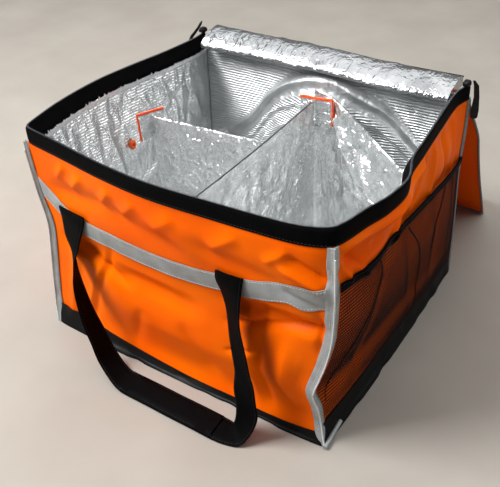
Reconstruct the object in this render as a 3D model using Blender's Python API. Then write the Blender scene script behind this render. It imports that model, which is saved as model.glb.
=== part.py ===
# Insulated delivery bag with its lid folded back, foil lining and dividers, a mesh side
# pocket and a webbing carry handle lying in front of it.
# Metres, +Z up. The origin is the middle of the base, on the surface that it stands on.
# X runs along the front from left to right, Y from the front to the back.

import bpy
import bmesh
import bisect
import functools
import math
from mathutils import Vector

# Driving sizes of the bag
bag_width = 0.470
bag_depth = 0.420
bag_height = 0.330

# Layers of the walls, from outside to inside
fabric = 0.0015
foam = 0.0070
base_board = 0.0030
lay_gap = 0.0003
trim_gap = 0.0009
seam_gap = 0.0004

# Bands and bindings
rim_band_height = 0.022
rim_facing_height = 0.036
rim_band_thick = 0.0040
rim_band_proud = 0.0010
base_band_height = 0.024
base_band_thick = 0.0014
base_band_flare = 0.0120
binding_width = 0.0100
binding_thick = 0.0013
binding_ridge = 0.0030
piping_width = 0.0030
reflective_height = 0.030
reflective_thick = 0.0006
zip_chain_width = 0.0040
zip_chain_height = 0.0018

# Carry handle
webbing_width = 0.040
webbing_thick = 0.0020
grip_thick = 0.0050

# Side pocket
pocket_mesh = 0.0012
pocket_slack = 0.018
pocket_binding_height = 0.017
pocket_binding_thick = 0.0024

# Lid and its hinge
lid_skirt_height = 0.040
lid_zip_height = 0.010
lid_foam = 0.0070
hinge_fold_width = 0.058
hinge_fold_thick = 0.0140
hinge_fold_inset = 0.0120

# Divider
divider_thick = 0.0060
divider_height = 0.273
tab_height = 0.045
tab_width = 0.055
tab_thick = 0.0020
edge_tape = 0.0030
hook_radius = 0.0075
hook_hole_radius = 0.0026
hook_depth = 0.0050

# Zip sliders
slider_length = 0.0140
slider_width = 0.0110
slider_height = 0.0070
pull_length = 0.052
pull_width = 0.0110
pull_thick = 0.0022

# Each corner seam from the floor to the rim: height share, width share, depth share
corner_paths = {
    "front_left": [
        (0.00, -0.505, -0.500),
        (0.08, -0.521, -0.478),
        (0.26, -0.518, -0.459),
        (0.40, -0.506, -0.452),
        (0.55, -0.498, -0.444),
        (0.70, -0.509, -0.445),
        (0.92, -0.527, -0.438),
        (1.00, -0.532, -0.433),
    ],
    "front_right": [
        (0.00, 0.495, -0.495),
        (0.09, 0.474, -0.474),
        (0.17, 0.466, -0.476),
        (0.25, 0.452, -0.483),
        (0.34, 0.466, -0.474),
        (0.42, 0.480, -0.466),
        (0.55, 0.493, -0.458),
        (0.76, 0.496, -0.455),
        (0.90, 0.490, -0.448),
        (1.00, 0.484, -0.434),
    ],
    "back_right": [
        (0.00, 0.500, 0.502),
        (0.12, 0.496, 0.512),
        (0.38, 0.4915, 0.509),
        (0.57, 0.487, 0.507),
        (0.80, 0.490, 0.510),
        (1.00, 0.487, 0.519),
    ],
    "back_left": [
        (0.00, -0.500, 0.500),
        (0.50, -0.498, 0.502),
        (1.00, -0.4915, 0.505),
    ],
}

# How far the rim of each side stands out from the line between its corners.
# Columns: place along the side, share of the depth (front, back) or width (left, right).
rim_bows = {
    "front": [
        (0.00, 0.000), (0.15, 0.024), (0.33, 0.055), (0.50, 0.070),
        (0.70, 0.058), (0.88, 0.042), (0.95, 0.026), (1.00, 0.000),
    ],
    "right": [
        (0.00, 0.000), (0.05, 0.014), (0.13, 0.030), (0.22, 0.052), (0.33, 0.058),
        (0.44, 0.028), (0.55, 0.018), (0.79, -0.004), (0.93, -0.013), (1.00, 0.000),
    ],
    "back": [
        (0.00, 0.000), (0.25, -0.006), (0.50, 0.006), (0.75, 0.004), (1.00, 0.000),
    ],
    "left": [
        (0.00, 0.000), (0.08, -0.009), (0.25, 0.003), (0.43, 0.028),
        (0.60, 0.043), (0.81, 0.033), (1.00, 0.000),
    ],
}

# Share of the rim's bow that a wall has at each height share
bow_growth = [(0.00, 0.00), (0.30, 0.12), (0.55, 0.38), (0.80, 0.80), (1.00, 1.00)]

# Folds and dents. Columns: side, place along it, height share, reach along, reach in height,
# depth as a share of the bag's depth, negative where the wall goes in.
folds = [
    ("front", 0.50, 0.30, 0.45, 0.24, 0.020),
    ("front", 0.14, 0.49, 0.16, 0.07, -0.016),
    ("front", 0.42, 0.44, 0.24, 0.07, -0.020),
    ("front", 0.84, 0.56, 0.22, 0.06, -0.024),
    ("front", 0.91, 0.30, 0.08, 0.22, 0.014),
    ("front", 0.60, 0.80, 0.30, 0.12, 0.008),
    ("right", 0.12, 0.25, 0.16, 0.20, -0.020),
    ("right", 0.35, 0.72, 0.24, 0.14, -0.030),
    ("right", 0.80, 0.76, 0.16, 0.14, 0.022),
    ("right", 0.62, 0.40, 0.30, 0.25, 0.010),
    ("back", 0.50, 0.45, 0.42, 0.32, 0.014),
    ("left", 0.50, 0.40, 0.40, 0.30, 0.020),
    ("left", 0.88, 0.52, 0.14, 0.20, -0.016),
]

# Middle line of the reflective band: place along the front, height share
reflective_line = [
    (0.00, 0.745), (0.12, 0.628), (0.30, 0.606), (0.55, 0.616),
    (0.78, 0.664), (0.90, 0.708), (1.00, 0.730),
]

# Mouth of the side pocket: place along the right side, height share
pocket_mouth = [(0.00, 0.745), (0.25, 0.720), (0.50, 0.690), (0.75, 0.655), (1.00, 0.620)]
# How far the mesh hangs out of the line between the corners.
# Columns: place along the side, share of the slack.
pocket_swell = [
    (0.00, 0.00), (0.07, 0.45), (0.15, 0.80), (0.25, 0.96), (0.50, 1.00),
    (0.75, 0.96), (0.85, 0.82), (0.93, 0.45), (1.00, 0.00),
]
# Share of the swell from the foot of the pocket to its mouth
pocket_swell_up = [(0.00, 0.20), (0.25, 0.88), (0.50, 1.00), (0.80, 0.92), (1.00, 0.60)]

# The lid's outer face from the hinge to its far edge.
# Columns: share of its length, share of the depth behind the back rim, height share,
# share of the bag's half width.
lid_profile = [
    (0.00, 0.006, 0.955, 0.970),
    (0.12, 0.026, 0.850, 0.965),
    (0.34, 0.115, 0.630, 0.945),
    (0.60, 0.240, 0.370, 0.925),
    (0.82, 0.345, 0.160, 0.915),
    (1.00, 0.426, 0.0060, 0.905),
]

# The foil lining of the back wall, pulled forward by the divider that is fixed to it.
# Columns: place along the back, share of the pull.
back_pull_along = [
    (0.00, 0.00), (0.12, 0.06), (0.28, 0.34), (0.40, 0.78), (0.47, 1.00),
    (0.55, 0.80), (0.70, 0.34), (0.86, 0.05), (1.00, 0.00),
]
back_pull_up = [(0.00, 0.30), (0.35, 0.70), (0.62, 1.00), (0.82, 1.00), (0.93, 0.55), (1.00, 0.10)]
back_pull = 0.092

# Divider plan, in shares of the bag's width and depth
long_divider_x = 0.027
long_divider_back = 0.365
cross_divider_y = 0.020
cross_divider_end_x = -0.405
cross_divider_end_y = 0.022
turned_divider_start = (0.125, 0.355)
turned_divider_end = (0.452, 0.160)
turned_divider_height = 0.285

# Webbing of the handle, from its left end on the front panel down to the floor, along it
# and up to its right end. Columns: place along the front, distance out of its seat on the
# panel as a share of the depth, height share, turn of the webbing's width from the line of
# the front towards the viewer, and its lean from level, both in degrees.
handle_route = [
    (0.150, 0.000, 0.670, 6, 0),
    (0.146, 0.002, 0.630, 6, 0),
    (0.132, 0.017, 0.520, 18, 0),
    (0.149, 0.031, 0.456, 40, 0),
    (0.168, 0.041, 0.421, 50, 0),
    (0.190, 0.053, 0.376, 56, 0),
    (0.224, 0.065, 0.315, 62, 0),
    (0.267, 0.079, 0.234, 68, 0),
    (0.304, 0.093, 0.155, 74, 4),
    (0.335, 0.103, 0.073, 80, 6),
    (0.381, 0.112, 0.022, 80, 2),
    (0.414, 0.112, 0.008, 82, 0),
    (0.480, 0.112, 0.008, 87, 0),
    (0.550, 0.113, 0.008, 90, 0),
    (0.620, 0.113, 0.008, 90, 0),
    (0.680, 0.113, 0.006, 86, 0),
    (0.712, 0.110, 0.006, 66, 0),
    (0.735, 0.106, 0.014, 44, 0),
    (0.758, 0.098, 0.055, 24, 8),
    (0.775, 0.092, 0.125, 12, 6),
    (0.785, 0.084, 0.212, 12, 0),
    (0.785, 0.074, 0.290, 20, 0),
    (0.767, 0.065, 0.346, 24, 0),
    (0.746, 0.055, 0.415, 26, 0),
    (0.720, 0.036, 0.517, 32, 0),
    (0.710, 0.022, 0.588, 22, 0),
    (0.712, 0.006, 0.661, 3, 0),
    (0.720, 0.000, 0.712, -3, 0),
]
grip_from = 0.40
grip_to = 0.55

# Routes of the zip pulls from the sliders, measured from the rim's back corners. Columns:
# steps across, back and up as shares of the pull's length, share of the pull's half width.
pull_routes = {
    "right": [
        (0.110, -0.029, 0.154, 0.30), (0.170, 0.030, 0.00, 0.65), (0.205, 0.070, -0.35, 0.70),
        (0.205, 0.076, -0.75, 1.00), (0.205, 0.078, -0.96, 0.90), (0.205, 0.078, -1.00, 0.55),
    ],
    "left": [
        (-0.100, -0.020, 0.270, 0.50), (-0.100, -0.150, 0.205, 0.90), (-0.100, -0.300, 0.120, 0.70),
        (-0.110, -0.460, 0.040, 0.80), (-0.127, -0.640, -0.050, 0.90), (-0.127, -0.700, -0.080, 0.50),
    ],
}
# The way that each pull's width points: shares across, back and up
pull_widths = {"right": (0.83, 0.55, 0.0), "left": (0.0, 0.54, 0.84)}

side_names = ("front", "right", "back", "left")
corner_names = ("front_left", "front_right", "back_right", "back_left")


def clear_scene():
    for thing in list(bpy.data.objects):
        bpy.data.objects.remove(thing, do_unlink=True)


def new_material(name, colour, roughness, metallic=0.0):
    material = bpy.data.materials.new(name)
    material.use_nodes = True
    shader = material.node_tree.nodes["Principled BSDF"]
    shader.inputs["Base Color"].default_value = (*colour, 1.0)
    shader.inputs["Roughness"].default_value = roughness
    shader.inputs["Metallic"].default_value = metallic
    return material


def read_row(rows, key, column=1):
    """Value of a column at key, on straight lines between the rows."""
    if key <= rows[0][0]:
        return rows[0][column]
    for low, high in zip(rows, rows[1:]):
        if key <= high[0]:
            share = (key - low[0]) / (high[0] - low[0])
            return low[column] + (high[column] - low[column]) * share
    return rows[-1][column]


def soft_row(rows, key, column=1):
    """Value of a column at key, on a smooth curve through the rows."""
    last = len(rows) - 1
    key = min(max(key, rows[0][0]), rows[-1][0])
    step = next(i for i in range(last) if key <= rows[i + 1][0])
    low, high = rows[step], rows[step + 1]
    before, after = rows[max(step - 1, 0)], rows[min(step + 2, last)]
    span = high[0] - low[0]
    slope_low = (high[column] - before[column]) / (high[0] - before[0]) * span
    slope_high = (after[column] - low[column]) / (after[0] - low[0]) * span
    t = (key - low[0]) / span
    return (
        low[column] * (1 + 2 * t) * (1 - t) ** 2
        + slope_low * t * (1 - t) ** 2
        + high[column] * t * t * (3 - 2 * t)
        + slope_high * t * t * (t - 1)
    )


def corner_point(number, height):
    rows = corner_paths[corner_names[number % 4]]
    return Vector((soft_row(rows, height, 1) * bag_width, soft_row(rows, height, 2) * bag_depth))


def side_normal(number, height):
    """Unit vector into the bag, square to the line between the side's corners."""
    along = corner_point(number + 1, height) - corner_point(number, height)
    along.normalize()
    return Vector((-along.y, along.x))


def corner_mitre(number, height):
    """Step of a corner that sets both its walls in by one unit."""
    before, after = side_normal(number - 1, height), side_normal(number, height)
    return (before + after) / (1.0 + before.dot(after))


def bump(distance, reach):
    if abs(distance) >= reach:
        return 0.0
    return 0.5 + 0.5 * math.cos(math.pi * distance / reach)


def wall_bow(side, along, height):
    """How far the wall stands out of the straight line between its corners."""
    across = bag_depth if side in ("front", "back") else bag_width
    out = soft_row(rim_bows[side], along) * across * soft_row(bow_growth, height)
    edge = min(along, 1.0 - along)
    hold = min(edge / 0.06, 1.0)
    for name, place, level, reach_along, reach_up, depth in folds:
        if name == side:
            out += depth * bag_depth * hold * bump(along - place, reach_along) * bump(height - level, reach_up)
    return out


def side_length(side, height=0.5):
    number = side_names.index(side)
    return (corner_point(number + 1, height) - corner_point(number, height)).length


@functools.lru_cache(maxsize=None)
def grid_point(side, column, level, inset):
    """Corner of the wall's facets, set in from its outer face."""
    number = side_names.index(side)
    along, height = wall_columns[column], wall_levels[level]
    start = corner_point(number, height) + corner_mitre(number, height) * inset
    end = corner_point(number + 1, height) + corner_mitre(number + 1, height) * inset
    flat = start.lerp(end, along) - side_normal(number, height) * wall_bow(side, along, height)
    return Vector((flat.x, flat.y, height * bag_height))


def find_step(places, key):
    """Number of the step that holds key, and its share of that step."""
    last = len(places) - 2
    step = min(max(bisect.bisect_right(places, key) - 1, 0), last)
    return step, (key - places[step]) / (places[step + 1] - places[step])


def wall_point(side, along, height, inset):
    """Point of a wall's facets at a share along it, a height share and a depth below its face."""
    i, across = find_step(wall_columns, along)
    j, up = find_step(wall_levels, height)
    inset = round(inset, 6)
    near, far = grid_point(side, i, j, inset), grid_point(side, i + 1, j + 1, inset)
    if across >= up:
        middle = grid_point(side, i + 1, j, inset)
        return near + (middle - near) * across + (far - middle) * up
    middle = grid_point(side, i, j + 1, inset)
    return near + (middle - near) * up + (far - middle) * across


def add_mesh(name, points, faces, material, smooth=True):
    mesh = bpy.data.meshes.new(name)
    mesh.from_pydata([tuple(point) for point in points], [], faces)
    shell = bmesh.new()
    shell.from_mesh(mesh)
    bmesh.ops.recalc_face_normals(shell, faces=shell.faces)
    shell.to_mesh(mesh)
    shell.free()
    thing = bpy.data.objects.new(name, mesh)
    bpy.context.scene.collection.objects.link(thing)
    mesh.materials.append(material)
    if smooth:
        mesh.shade_smooth()
        mesh.set_sharp_from_angle(angle=math.radians(35))
    return thing


def add_slab(name, columns, rows, point, material):
    """Closed slab over a grid. point(column, row, layer) gives the outer layer 0 and inner 1."""
    wide, tall = len(columns), len(rows)
    points = [point(c, r, layer) for layer in (0, 1) for r in rows for c in columns]

    def index(i, j, layer):
        return layer * wide * tall + j * wide + i

    faces = []
    for j in range(tall - 1):
        for i in range(wide - 1):
            near, far = (i, j), (i + 1, j + 1)
            for corner in ((i + 1, j), (i, j + 1)):
                faces.append([index(*near, 0), index(*corner, 0), index(*far, 0)])
                faces.append([index(*far, 1), index(*corner, 1), index(*near, 1)])
    rim = [(i, 0) for i in range(wide)]
    rim += [(wide - 1, j) for j in range(1, tall)]
    rim += [(i, tall - 1) for i in range(wide - 2, -1, -1)]
    rim += [(0, j) for j in range(tall - 2, 0, -1)]
    for here, there in zip(rim, rim[1:] + rim[:1]):
        faces.append([index(*here, 0), index(*here, 1), index(*there, 1), index(*there, 0)])
    return add_mesh(name, points, faces, material)


def add_sweep(name, sections, material):
    """Closed solid through sections, each with as many points, in the same turn."""
    count = len(sections[0])
    points = [point for section in sections for point in section]
    faces = []
    for level in range(len(sections) - 1):
        for i in range(count):
            k = (i + 1) % count
            low, high = level * count, (level + 1) * count
            faces.append([low + i, low + k, high + k, high + i])
    faces.append(list(range(count))[::-1])
    faces.append([(len(sections) - 1) * count + i for i in range(count)])
    return add_mesh(name, points, faces, material)


def spread(low, high, count):
    return [low + (high - low) * i / (count - 1) for i in range(count)]


def share_up(length):
    return length / bag_height


# Shares that the layers have in common, so that their facets run alike
panel_foot = share_up(base_board + lay_gap)
panel_top = share_up(bag_height - rim_band_height - lay_gap)
back_top = share_up(bag_height - hinge_fold_thick)
liner_inset = fabric + lay_gap
inner_face = liner_inset + foam
floor_top = base_board + lay_gap + foam
reflective_seat = trim_gap + lay_gap
wall_columns = [0.0, 0.07, 0.15, 0.25, 0.36, 0.48, 0.60, 0.72, 0.83, 0.92, 1.0]
fine_columns = sorted(wall_columns + [(a + b) / 2 for a, b in zip(wall_columns, wall_columns[1:])])
middle_levels = [0.16, 0.23, 0.30, 0.37, 0.43, 0.50, 0.57, 0.65, 0.74, 0.83]
facing_foot = 1.0 - share_up(rim_facing_height)
wall_levels = sorted(
    [0.0, panel_foot, share_up(base_band_height), facing_foot, panel_top, 1.0] + middle_levels
)


def between(low, high):
    """Levels of the walls from low to high, both ends with them."""
    margin = 0.012
    return [low] + [level for level in wall_levels if low + margin < level < high - margin] + [high]


def trimmed(side, columns, trim=seam_gap):
    """Columns of a side with their ends set back from the corners."""
    share = trim / side_length(side)
    return [min(max(c, share), 1.0 - share) for c in columns]


def add_panels(orange):
    for side in side_names:
        top = back_top if side == "back" else panel_top

        def point(along, height, layer, side=side):
            return wall_point(side, along, height, layer * fabric)

        add_slab(
            side + "_panel",
            trimmed(side, wall_columns),
            between(panel_foot, top),
            point,
            orange,
        )


def pull_of_lining(along, height):
    return back_pull * bag_depth * soft_row(back_pull_along, along) * soft_row(back_pull_up, height)


def add_liners(foil):
    foot = share_up(floor_top + lay_gap)
    for side in side_names:
        top = back_top if side == "back" else panel_top

        def point(along, height, layer, side=side):
            inset = liner_inset + layer * foam
            if side == "back" and layer:
                base = wall_point(side, along, height, inset)
                inward = side_normal(2, height) * pull_of_lining(along, height)
                return base + Vector((inward.x, inward.y, 0.0))
            return wall_point(side, along, height, inset)

        add_slab(
            side + "_lining",
            trimmed(side, wall_columns),
            between(foot, top),
            point,
            foil,
        )


def add_plate(name, inset, bottom, top, material):
    """Level plate that fills the walls' outline at its own height."""
    columns = wall_columns[:-1]
    sections = []
    for level in (bottom, top):
        ring = []
        for side in side_names:
            ring += [wall_point(side, along, level / bag_height, inset) for along in columns]
        sections.append(ring)
    return add_sweep(name, sections, material)


def add_base(black, foil):
    add_plate("base_panel", 0.0, 0.0, base_board, black)
    add_plate("floor_lining", liner_inset, base_board + lay_gap, floor_top, foil)
    for side in side_names:

        def point(along, height, layer, side=side):
            lean = 1.0 - height * bag_height / base_band_height
            swell = base_band_flare * lean * math.sin(math.pi * along) ** 0.4
            out = trim_gap + swell + (0.0 if layer else base_band_thick)
            return wall_point(side, along, height, -out)

        width = binding_width if side == "front" else piping_width
        ends = {"right": (binding_width, piping_width), "left": (piping_width, binding_width)}
        first, last = ends.get(side, (width, width))
        start = (first + lay_gap) / side_length(side)
        finish = 1.0 - (last + lay_gap) / side_length(side)
        columns = [min(max(c, start), finish) for c in wall_columns]
        add_slab(side + "_base_band", columns, [0.0, share_up(base_band_height)], point, black)


def add_rim(black, teeth):
    """Band over the walls' top edge, with a deeper facing inside, and the zip's teeth on top."""
    seat = 1.0 - share_up(rim_band_height)
    facing = inner_face + trim_gap
    shape = [
        (-rim_band_proud, 1.0), (-rim_band_proud, seat), (facing, seat), (facing, facing_foot),
        (facing + binding_thick, facing_foot), (facing + binding_thick, seat),
        (rim_band_thick - rim_band_proud, 1.0),
    ]
    chain = []
    for side in ("left", "front", "right"):
        sections = []
        for along in trimmed(side, wall_columns):
            sections.append([wall_point(side, along, height, inset) for inset, height in shape])
        add_sweep("rim_band_" + side, sections, black)
        columns = wall_columns[:-1] if side != "right" else wall_columns
        chain += [(side, along) for along in columns]
    middle = rim_band_thick / 2 - rim_band_proud
    half = zip_chain_width / 2
    low, high = bag_height + lay_gap, bag_height + lay_gap + zip_chain_height
    profile = [(middle - half, low), (middle + half, low), (middle + half / 2, high), (middle - half / 2, high)]
    sections = []
    for side, along in chain:
        share = min(max(along, seam_gap), 1.0 - seam_gap)
        ring = []
        for inset, level in profile:
            flat = wall_point(side, share, 1.0, inset)
            ring.append(Vector((flat.x, flat.y, level)))
        sections.append(ring)
    add_sweep("zip_chain", sections, teeth)


def add_corner_bindings(reflective, grey):
    top = panel_top
    widths = (binding_width, binding_width, piping_width, piping_width)
    for number, width in enumerate(widths):
        before, after = side_names[number - 1], side_names[number]
        inner = -trim_gap - lay_gap
        outer, ridge = inner - binding_thick, inner - binding_ridge
        step = min(binding_thick, width / 3)
        profile = [
            (-width, inner), (-width, outer), (-step, outer), (0.0, ridge),
            (step, outer), (width, outer), (width, inner), (0.0, inner),
        ]
        sections = []
        for height in between(share_up(lay_gap), top):
            ring = []
            for offset, inset in profile:
                if offset < 0:
                    along = 1.0 + offset / side_length(before)
                    ring.append(wall_point(before, along, height, inset))
                else:
                    ring.append(wall_point(after, offset / side_length(after), height, inset))
            sections.append(ring)
        material = reflective if width == binding_width else grey
        add_sweep(corner_names[number] + "_binding", sections, material)


def add_reflective_band(reflective):
    start = (binding_width + trim_gap) / side_length("front")
    half = share_up(reflective_height) / 2

    def point(along, part, layer):
        height = soft_row(reflective_line, along) + part * half
        return wall_point("front", along, height, -reflective_seat - (0.0 if layer else reflective_thick))

    columns = [min(max(c, start), 1.0 - start) for c in fine_columns]
    add_slab("reflective_band", columns, spread(-1.0, 1.0, 5), point, reflective)


def pocket_out(along, height, part):
    """Distance of the mesh from the wall; part runs from the pocket's foot to its mouth."""
    swell = pocket_slack * soft_row(pocket_swell, along) * soft_row(pocket_swell_up, part)
    return max(trim_gap, swell - wall_bow("right", along, height))


def add_pocket(net, black):
    side = "right"
    foot = share_up(base_band_height + lay_gap)
    start = (binding_width + trim_gap) / side_length(side)
    finish = 1.0 - (piping_width + trim_gap) / side_length(side)
    columns = [min(max(c, start), finish) for c in fine_columns]

    def mesh_point(along, part, layer):
        mouth = soft_row(pocket_mouth, along)
        height = foot + (mouth - foot) * part
        out = pocket_out(along, height, part) + (0.0 if layer else pocket_mesh)
        return wall_point(side, along, height, -out)

    def binding_point(along, part, layer):
        mouth = soft_row(pocket_mouth, along)
        height = mouth + share_up(lay_gap + part * pocket_binding_height)
        out = pocket_out(along, height, 1.0) + lay_gap + (0.0 if layer else pocket_binding_thick)
        return wall_point(side, along, height, -out)

    add_slab("side_pocket_mesh", columns, spread(0.0, 1.0, 9), mesh_point, net)
    add_slab("side_pocket_binding", columns, spread(0.0, 1.0, 4), binding_point, black)


def lid_point(across, along, lift):
    """Point of the lid: across from -1 to 1, along from its hinge, lift off its outer face."""
    step = 0.01
    back = bag_depth * (read_row(corner_paths["back_right"], 1.0, 2) + 0.004)
    here, ahead = min(along, 1.0 - step), min(along, 1.0 - step) + step
    slope_y = (soft_row(lid_profile, ahead, 1) - soft_row(lid_profile, here, 1)) * bag_depth
    slope_z = (soft_row(lid_profile, ahead, 2) - soft_row(lid_profile, here, 2)) * bag_height
    normal = Vector((0.0, -slope_z, slope_y)).normalized()
    half = soft_row(lid_profile, along, 3) * bag_width / 2
    base = Vector((
        across * half,
        back + soft_row(lid_profile, along, 1) * bag_depth,
        soft_row(lid_profile, along, 2) * bag_height,
    ))
    return base + normal * lift


def add_lid(orange, foil, black):
    rows = spread(0.0, 1.0, 9)
    half = bag_width / 2
    inside = 1.0 - (fabric + lay_gap) / half
    columns = [inside * c for c in (-1.0, -0.5, 0.0, 0.5, 1.0)]

    def shell(across, along, layer):
        return lid_point(across, along, layer * fabric)

    def lining(across, along, layer):
        step, share = find_step(rows, along)
        lift = fabric + lay_gap + layer * lid_foam
        return lid_point(across, rows[step], lift).lerp(lid_point(across, rows[step + 1], lift), share)

    add_slab("lid_panel", columns[::-1], rows, shell, orange)
    add_slab("lid_lining", columns[::-1], [0.04] + rows[1:-1] + [0.985], lining, foil)
    for name, sign in (("left", -1.0), ("right", 1.0)):

        def skirt(along, lift, layer, sign=sign):
            across = sign * (1.0 - (0.0 if layer == (sign < 0) else fabric) / half)
            return lid_point(across, along, lift)

        orange_top = lid_skirt_height - lid_zip_height
        add_slab("lid_skirt_" + name, rows, [0.0, orange_top], skirt, orange)
        add_slab(
            "lid_zip_" + name, rows, [orange_top + lay_gap, lid_skirt_height], skirt, black
        )

    def end_point(across, lift, layer):
        edge = lid_point(across, 1.0, lift)
        before = lid_point(across, 0.99, lift)
        out = (edge - before).normalized()
        return edge + out * (lay_gap + (fabric if layer else 0.0))

    add_slab("lid_skirt_end", columns, [0.0, lid_skirt_height - lid_zip_height], end_point, orange)
    add_slab(
        "lid_zip_end",
        columns,
        [lid_skirt_height - lid_zip_height + lay_gap, lid_skirt_height],
        end_point,
        black,
    )


def add_hinge_fold(foil):
    """Foil that rolls from the back lining over the rim to the lid."""
    base = back_top * bag_height + lay_gap
    shape = [
        (0.0, 0.20), (0.20, 0.62), (0.50, 0.90), (0.80, 1.00), (0.95, 0.85), (1.0, 0.45),
        (1.0, 0.0), (0.5, 0.0), (0.0, 0.0),
    ]
    sections = []
    for along in spread(0.008, 0.992, 11):
        middle = wall_point("back", along, 1.0, hinge_fold_inset + liner_inset)
        ring = []
        for across, rise in shape:
            y = middle.y + (across - 0.5) * hinge_fold_width
            ring.append(Vector((middle.x, y, base + rise * (hinge_fold_thick - lay_gap))))
        sections.append(ring)
    add_sweep("hinge_fold", sections, foil)


def add_board(name, start, end, bottom, top, thickness, sag, bow, material, start_at=None):
    """Upright padded board from start to end in plan, with a sagging top and a bowed face."""
    start, end = Vector(start), Vector(end)
    direction = (end - start).normalized()
    side = Vector((direction.y, -direction.x))

    def point(along, up, layer):
        curve = math.sin(math.pi * along)
        level = bottom + (top - sag * curve - bottom) * up
        first = start_at(level) if start_at else start
        out = bow * curve * up + (thickness / 2 if layer == 0 else -thickness / 2)
        flat = first.lerp(end, along) + side * out
        return Vector((flat.x, flat.y, level))

    return add_slab(name, spread(0.0, 1.0, 7), spread(0.0, 1.0, 9), point, material)


def lining_at_x(x, level):
    """Point of the front lining's inner face at a width and a level, with room for a board."""
    height = level / bag_height
    left, right = corner_point(0, height), corner_point(1, height)
    along = (x - left.x) / (right.x - left.x)
    reach = divider_thick / side_length("front")
    rise = 0.03
    spots = [
        wall_point("front", along + k * reach, height + j * rise, inner_face + trim_gap)
        for k in (-1, 0, 1) for j in (-1, 0, 1)
    ]
    return Vector((x, max(spot.y for spot in spots)))


def add_dividers(foil, edging):
    bottom = floor_top + lay_gap
    top = floor_top + divider_height
    long_x = long_divider_x * bag_width
    long_back = long_divider_back * bag_depth
    add_board(
        "long_divider", (long_x, 0.0), (long_x, long_back),
        bottom, top, divider_thick, 0.004, 0.0, foil,
        start_at=lambda level: lining_at_x(long_x, level),
    )
    cross_y = cross_divider_y * bag_depth
    cross_end = Vector((cross_divider_end_x * bag_width, cross_divider_end_y * bag_depth))
    add_board(
        "cross_divider",
        (long_x - divider_thick / 2 - lay_gap, cross_y), cross_end,
        bottom, top, divider_thick, 0.003, 0.004, foil,
    )
    turned = [Vector((x * bag_width, y * bag_depth)) for x, y in (turned_divider_start, turned_divider_end)]
    add_board(
        "turned_divider", *turned,
        bottom, floor_top + turned_divider_height, divider_thick * 2, 0.010, 0.006, foil,
    )
    add_tab("back_tab", (long_x, long_back + lay_gap + tab_thick / 2), (1.0, 0.0), top, foil, edging)
    left = Vector((cross_end.x - lay_gap - tab_thick / 2, cross_end.y))
    add_tab("left_tab", left, (0.0, -1.0), top, foil, edging)


def add_tab(name, middle, along, top, foil, edging):
    """Flap across a divider's end, with edging on its top and its outer upright edge."""
    middle, along = Vector(middle), Vector(along)
    across = Vector((along.y, -along.x))

    def box(part, from_a, to_a, from_z, to_z, material):
        def point(a, z, layer):
            flat = middle + along * a + across * (tab_thick / 2 if layer == 0 else -tab_thick / 2)
            return Vector((flat.x, flat.y, z))

        add_slab(part, [from_a, (from_a + to_a) / 2, to_a], [from_z, to_z], point, material)

    half = tab_width / 2
    body_top = top - edge_tape - lay_gap
    box(name, -half, half, top - tab_height, body_top, foil)
    box(name + "_top_edging", -half, half, top - edge_tape, top, edging)
    box(name + "_side_edging", half + lay_gap, half + lay_gap + edge_tape, top - tab_height, top, edging)


def add_hook_button(edging):
    """Round button with a hole, seated on the left lining beside the cross divider's end."""
    along, height = 0.52, 0.645
    seat = wall_point("left", along, height, inner_face + trim_gap)
    inward = side_normal(3, height)
    out = Vector((inward.x, inward.y, 0.0))
    flat = Vector((-inward.y, inward.x, 0.0))
    lift = Vector((0.0, 0.0, 1.0))
    turns = 16
    profile = [
        (hook_radius, 0.0), (hook_radius, hook_depth * 0.4), (hook_radius * 0.72, hook_depth),
        (hook_hole_radius, hook_depth * 0.8), (hook_hole_radius, 0.0),
    ]
    points = []
    for i in range(turns):
        angle = 2 * math.pi * i / turns
        ray = flat * math.cos(angle) + lift * math.sin(angle)
        points += [seat + ray * radius + out * depth for radius, depth in profile]
    count = len(profile)
    faces = []
    for i in range(turns):
        for j in range(count):
            k, n = (i + 1) % turns, (j + 1) % count
            faces.append([i * count + j, i * count + n, k * count + n, k * count + j])
    add_mesh("hook_button", points, faces, edging)


def handle_stations(count):
    """Middle point and width direction at even steps of the handle's route."""
    seat = reflective_seat + reflective_thick + lay_gap + webbing_thick / 2
    rows = []
    for i, (along, out, height, turn, lean) in enumerate(handle_route):
        point = wall_point("front", along, height, -seat - out * bag_depth)
        rows.append((i / (len(handle_route) - 1), *point, turn, lean))
    stations = []
    for share in spread(0.0, 1.0, count):
        middle = Vector([soft_row(rows, share, column) for column in (1, 2, 3)])
        turn = math.radians(soft_row(rows, share, 4))
        lean = math.radians(soft_row(rows, share, 5))
        level = math.cos(lean)
        width = Vector((math.cos(turn) * level, -math.sin(turn) * level, math.sin(lean)))
        stations.append((share, middle, width))
    return stations


def add_handle(black):
    stations = handle_stations(61)
    runs = {
        "handle_left": (0.0, grip_from),
        "handle_grip": (grip_from, grip_to),
        "handle_right": (grip_to, 1.0),
    }
    for name, (first, last) in runs.items():
        thick = grip_thick if name == "handle_grip" else webbing_thick
        sections = []
        for i, (share, middle, width) in enumerate(stations):
            if share < first - 1e-6 or share > last + 1e-6:
                continue
            ahead = stations[min(i + 1, len(stations) - 1)][1] - stations[max(i - 1, 0)][1]
            ahead.normalize()
            face = ahead.cross(width).normalized()
            centre = middle + (ahead * lay_gap if 0.0 < first and share - first < 1e-6 else ahead * 0.0)
            side, out = width * webbing_width / 2, face * thick / 2
            ring = [centre - side - out, centre + side - out, centre + side + out, centre - side + out]
            rise = max(0.0, -min(corner.z for corner in ring))
            sections.append([corner + Vector((0.0, 0.0, rise)) for corner in ring])
        add_sweep(name, sections, black)


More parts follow.
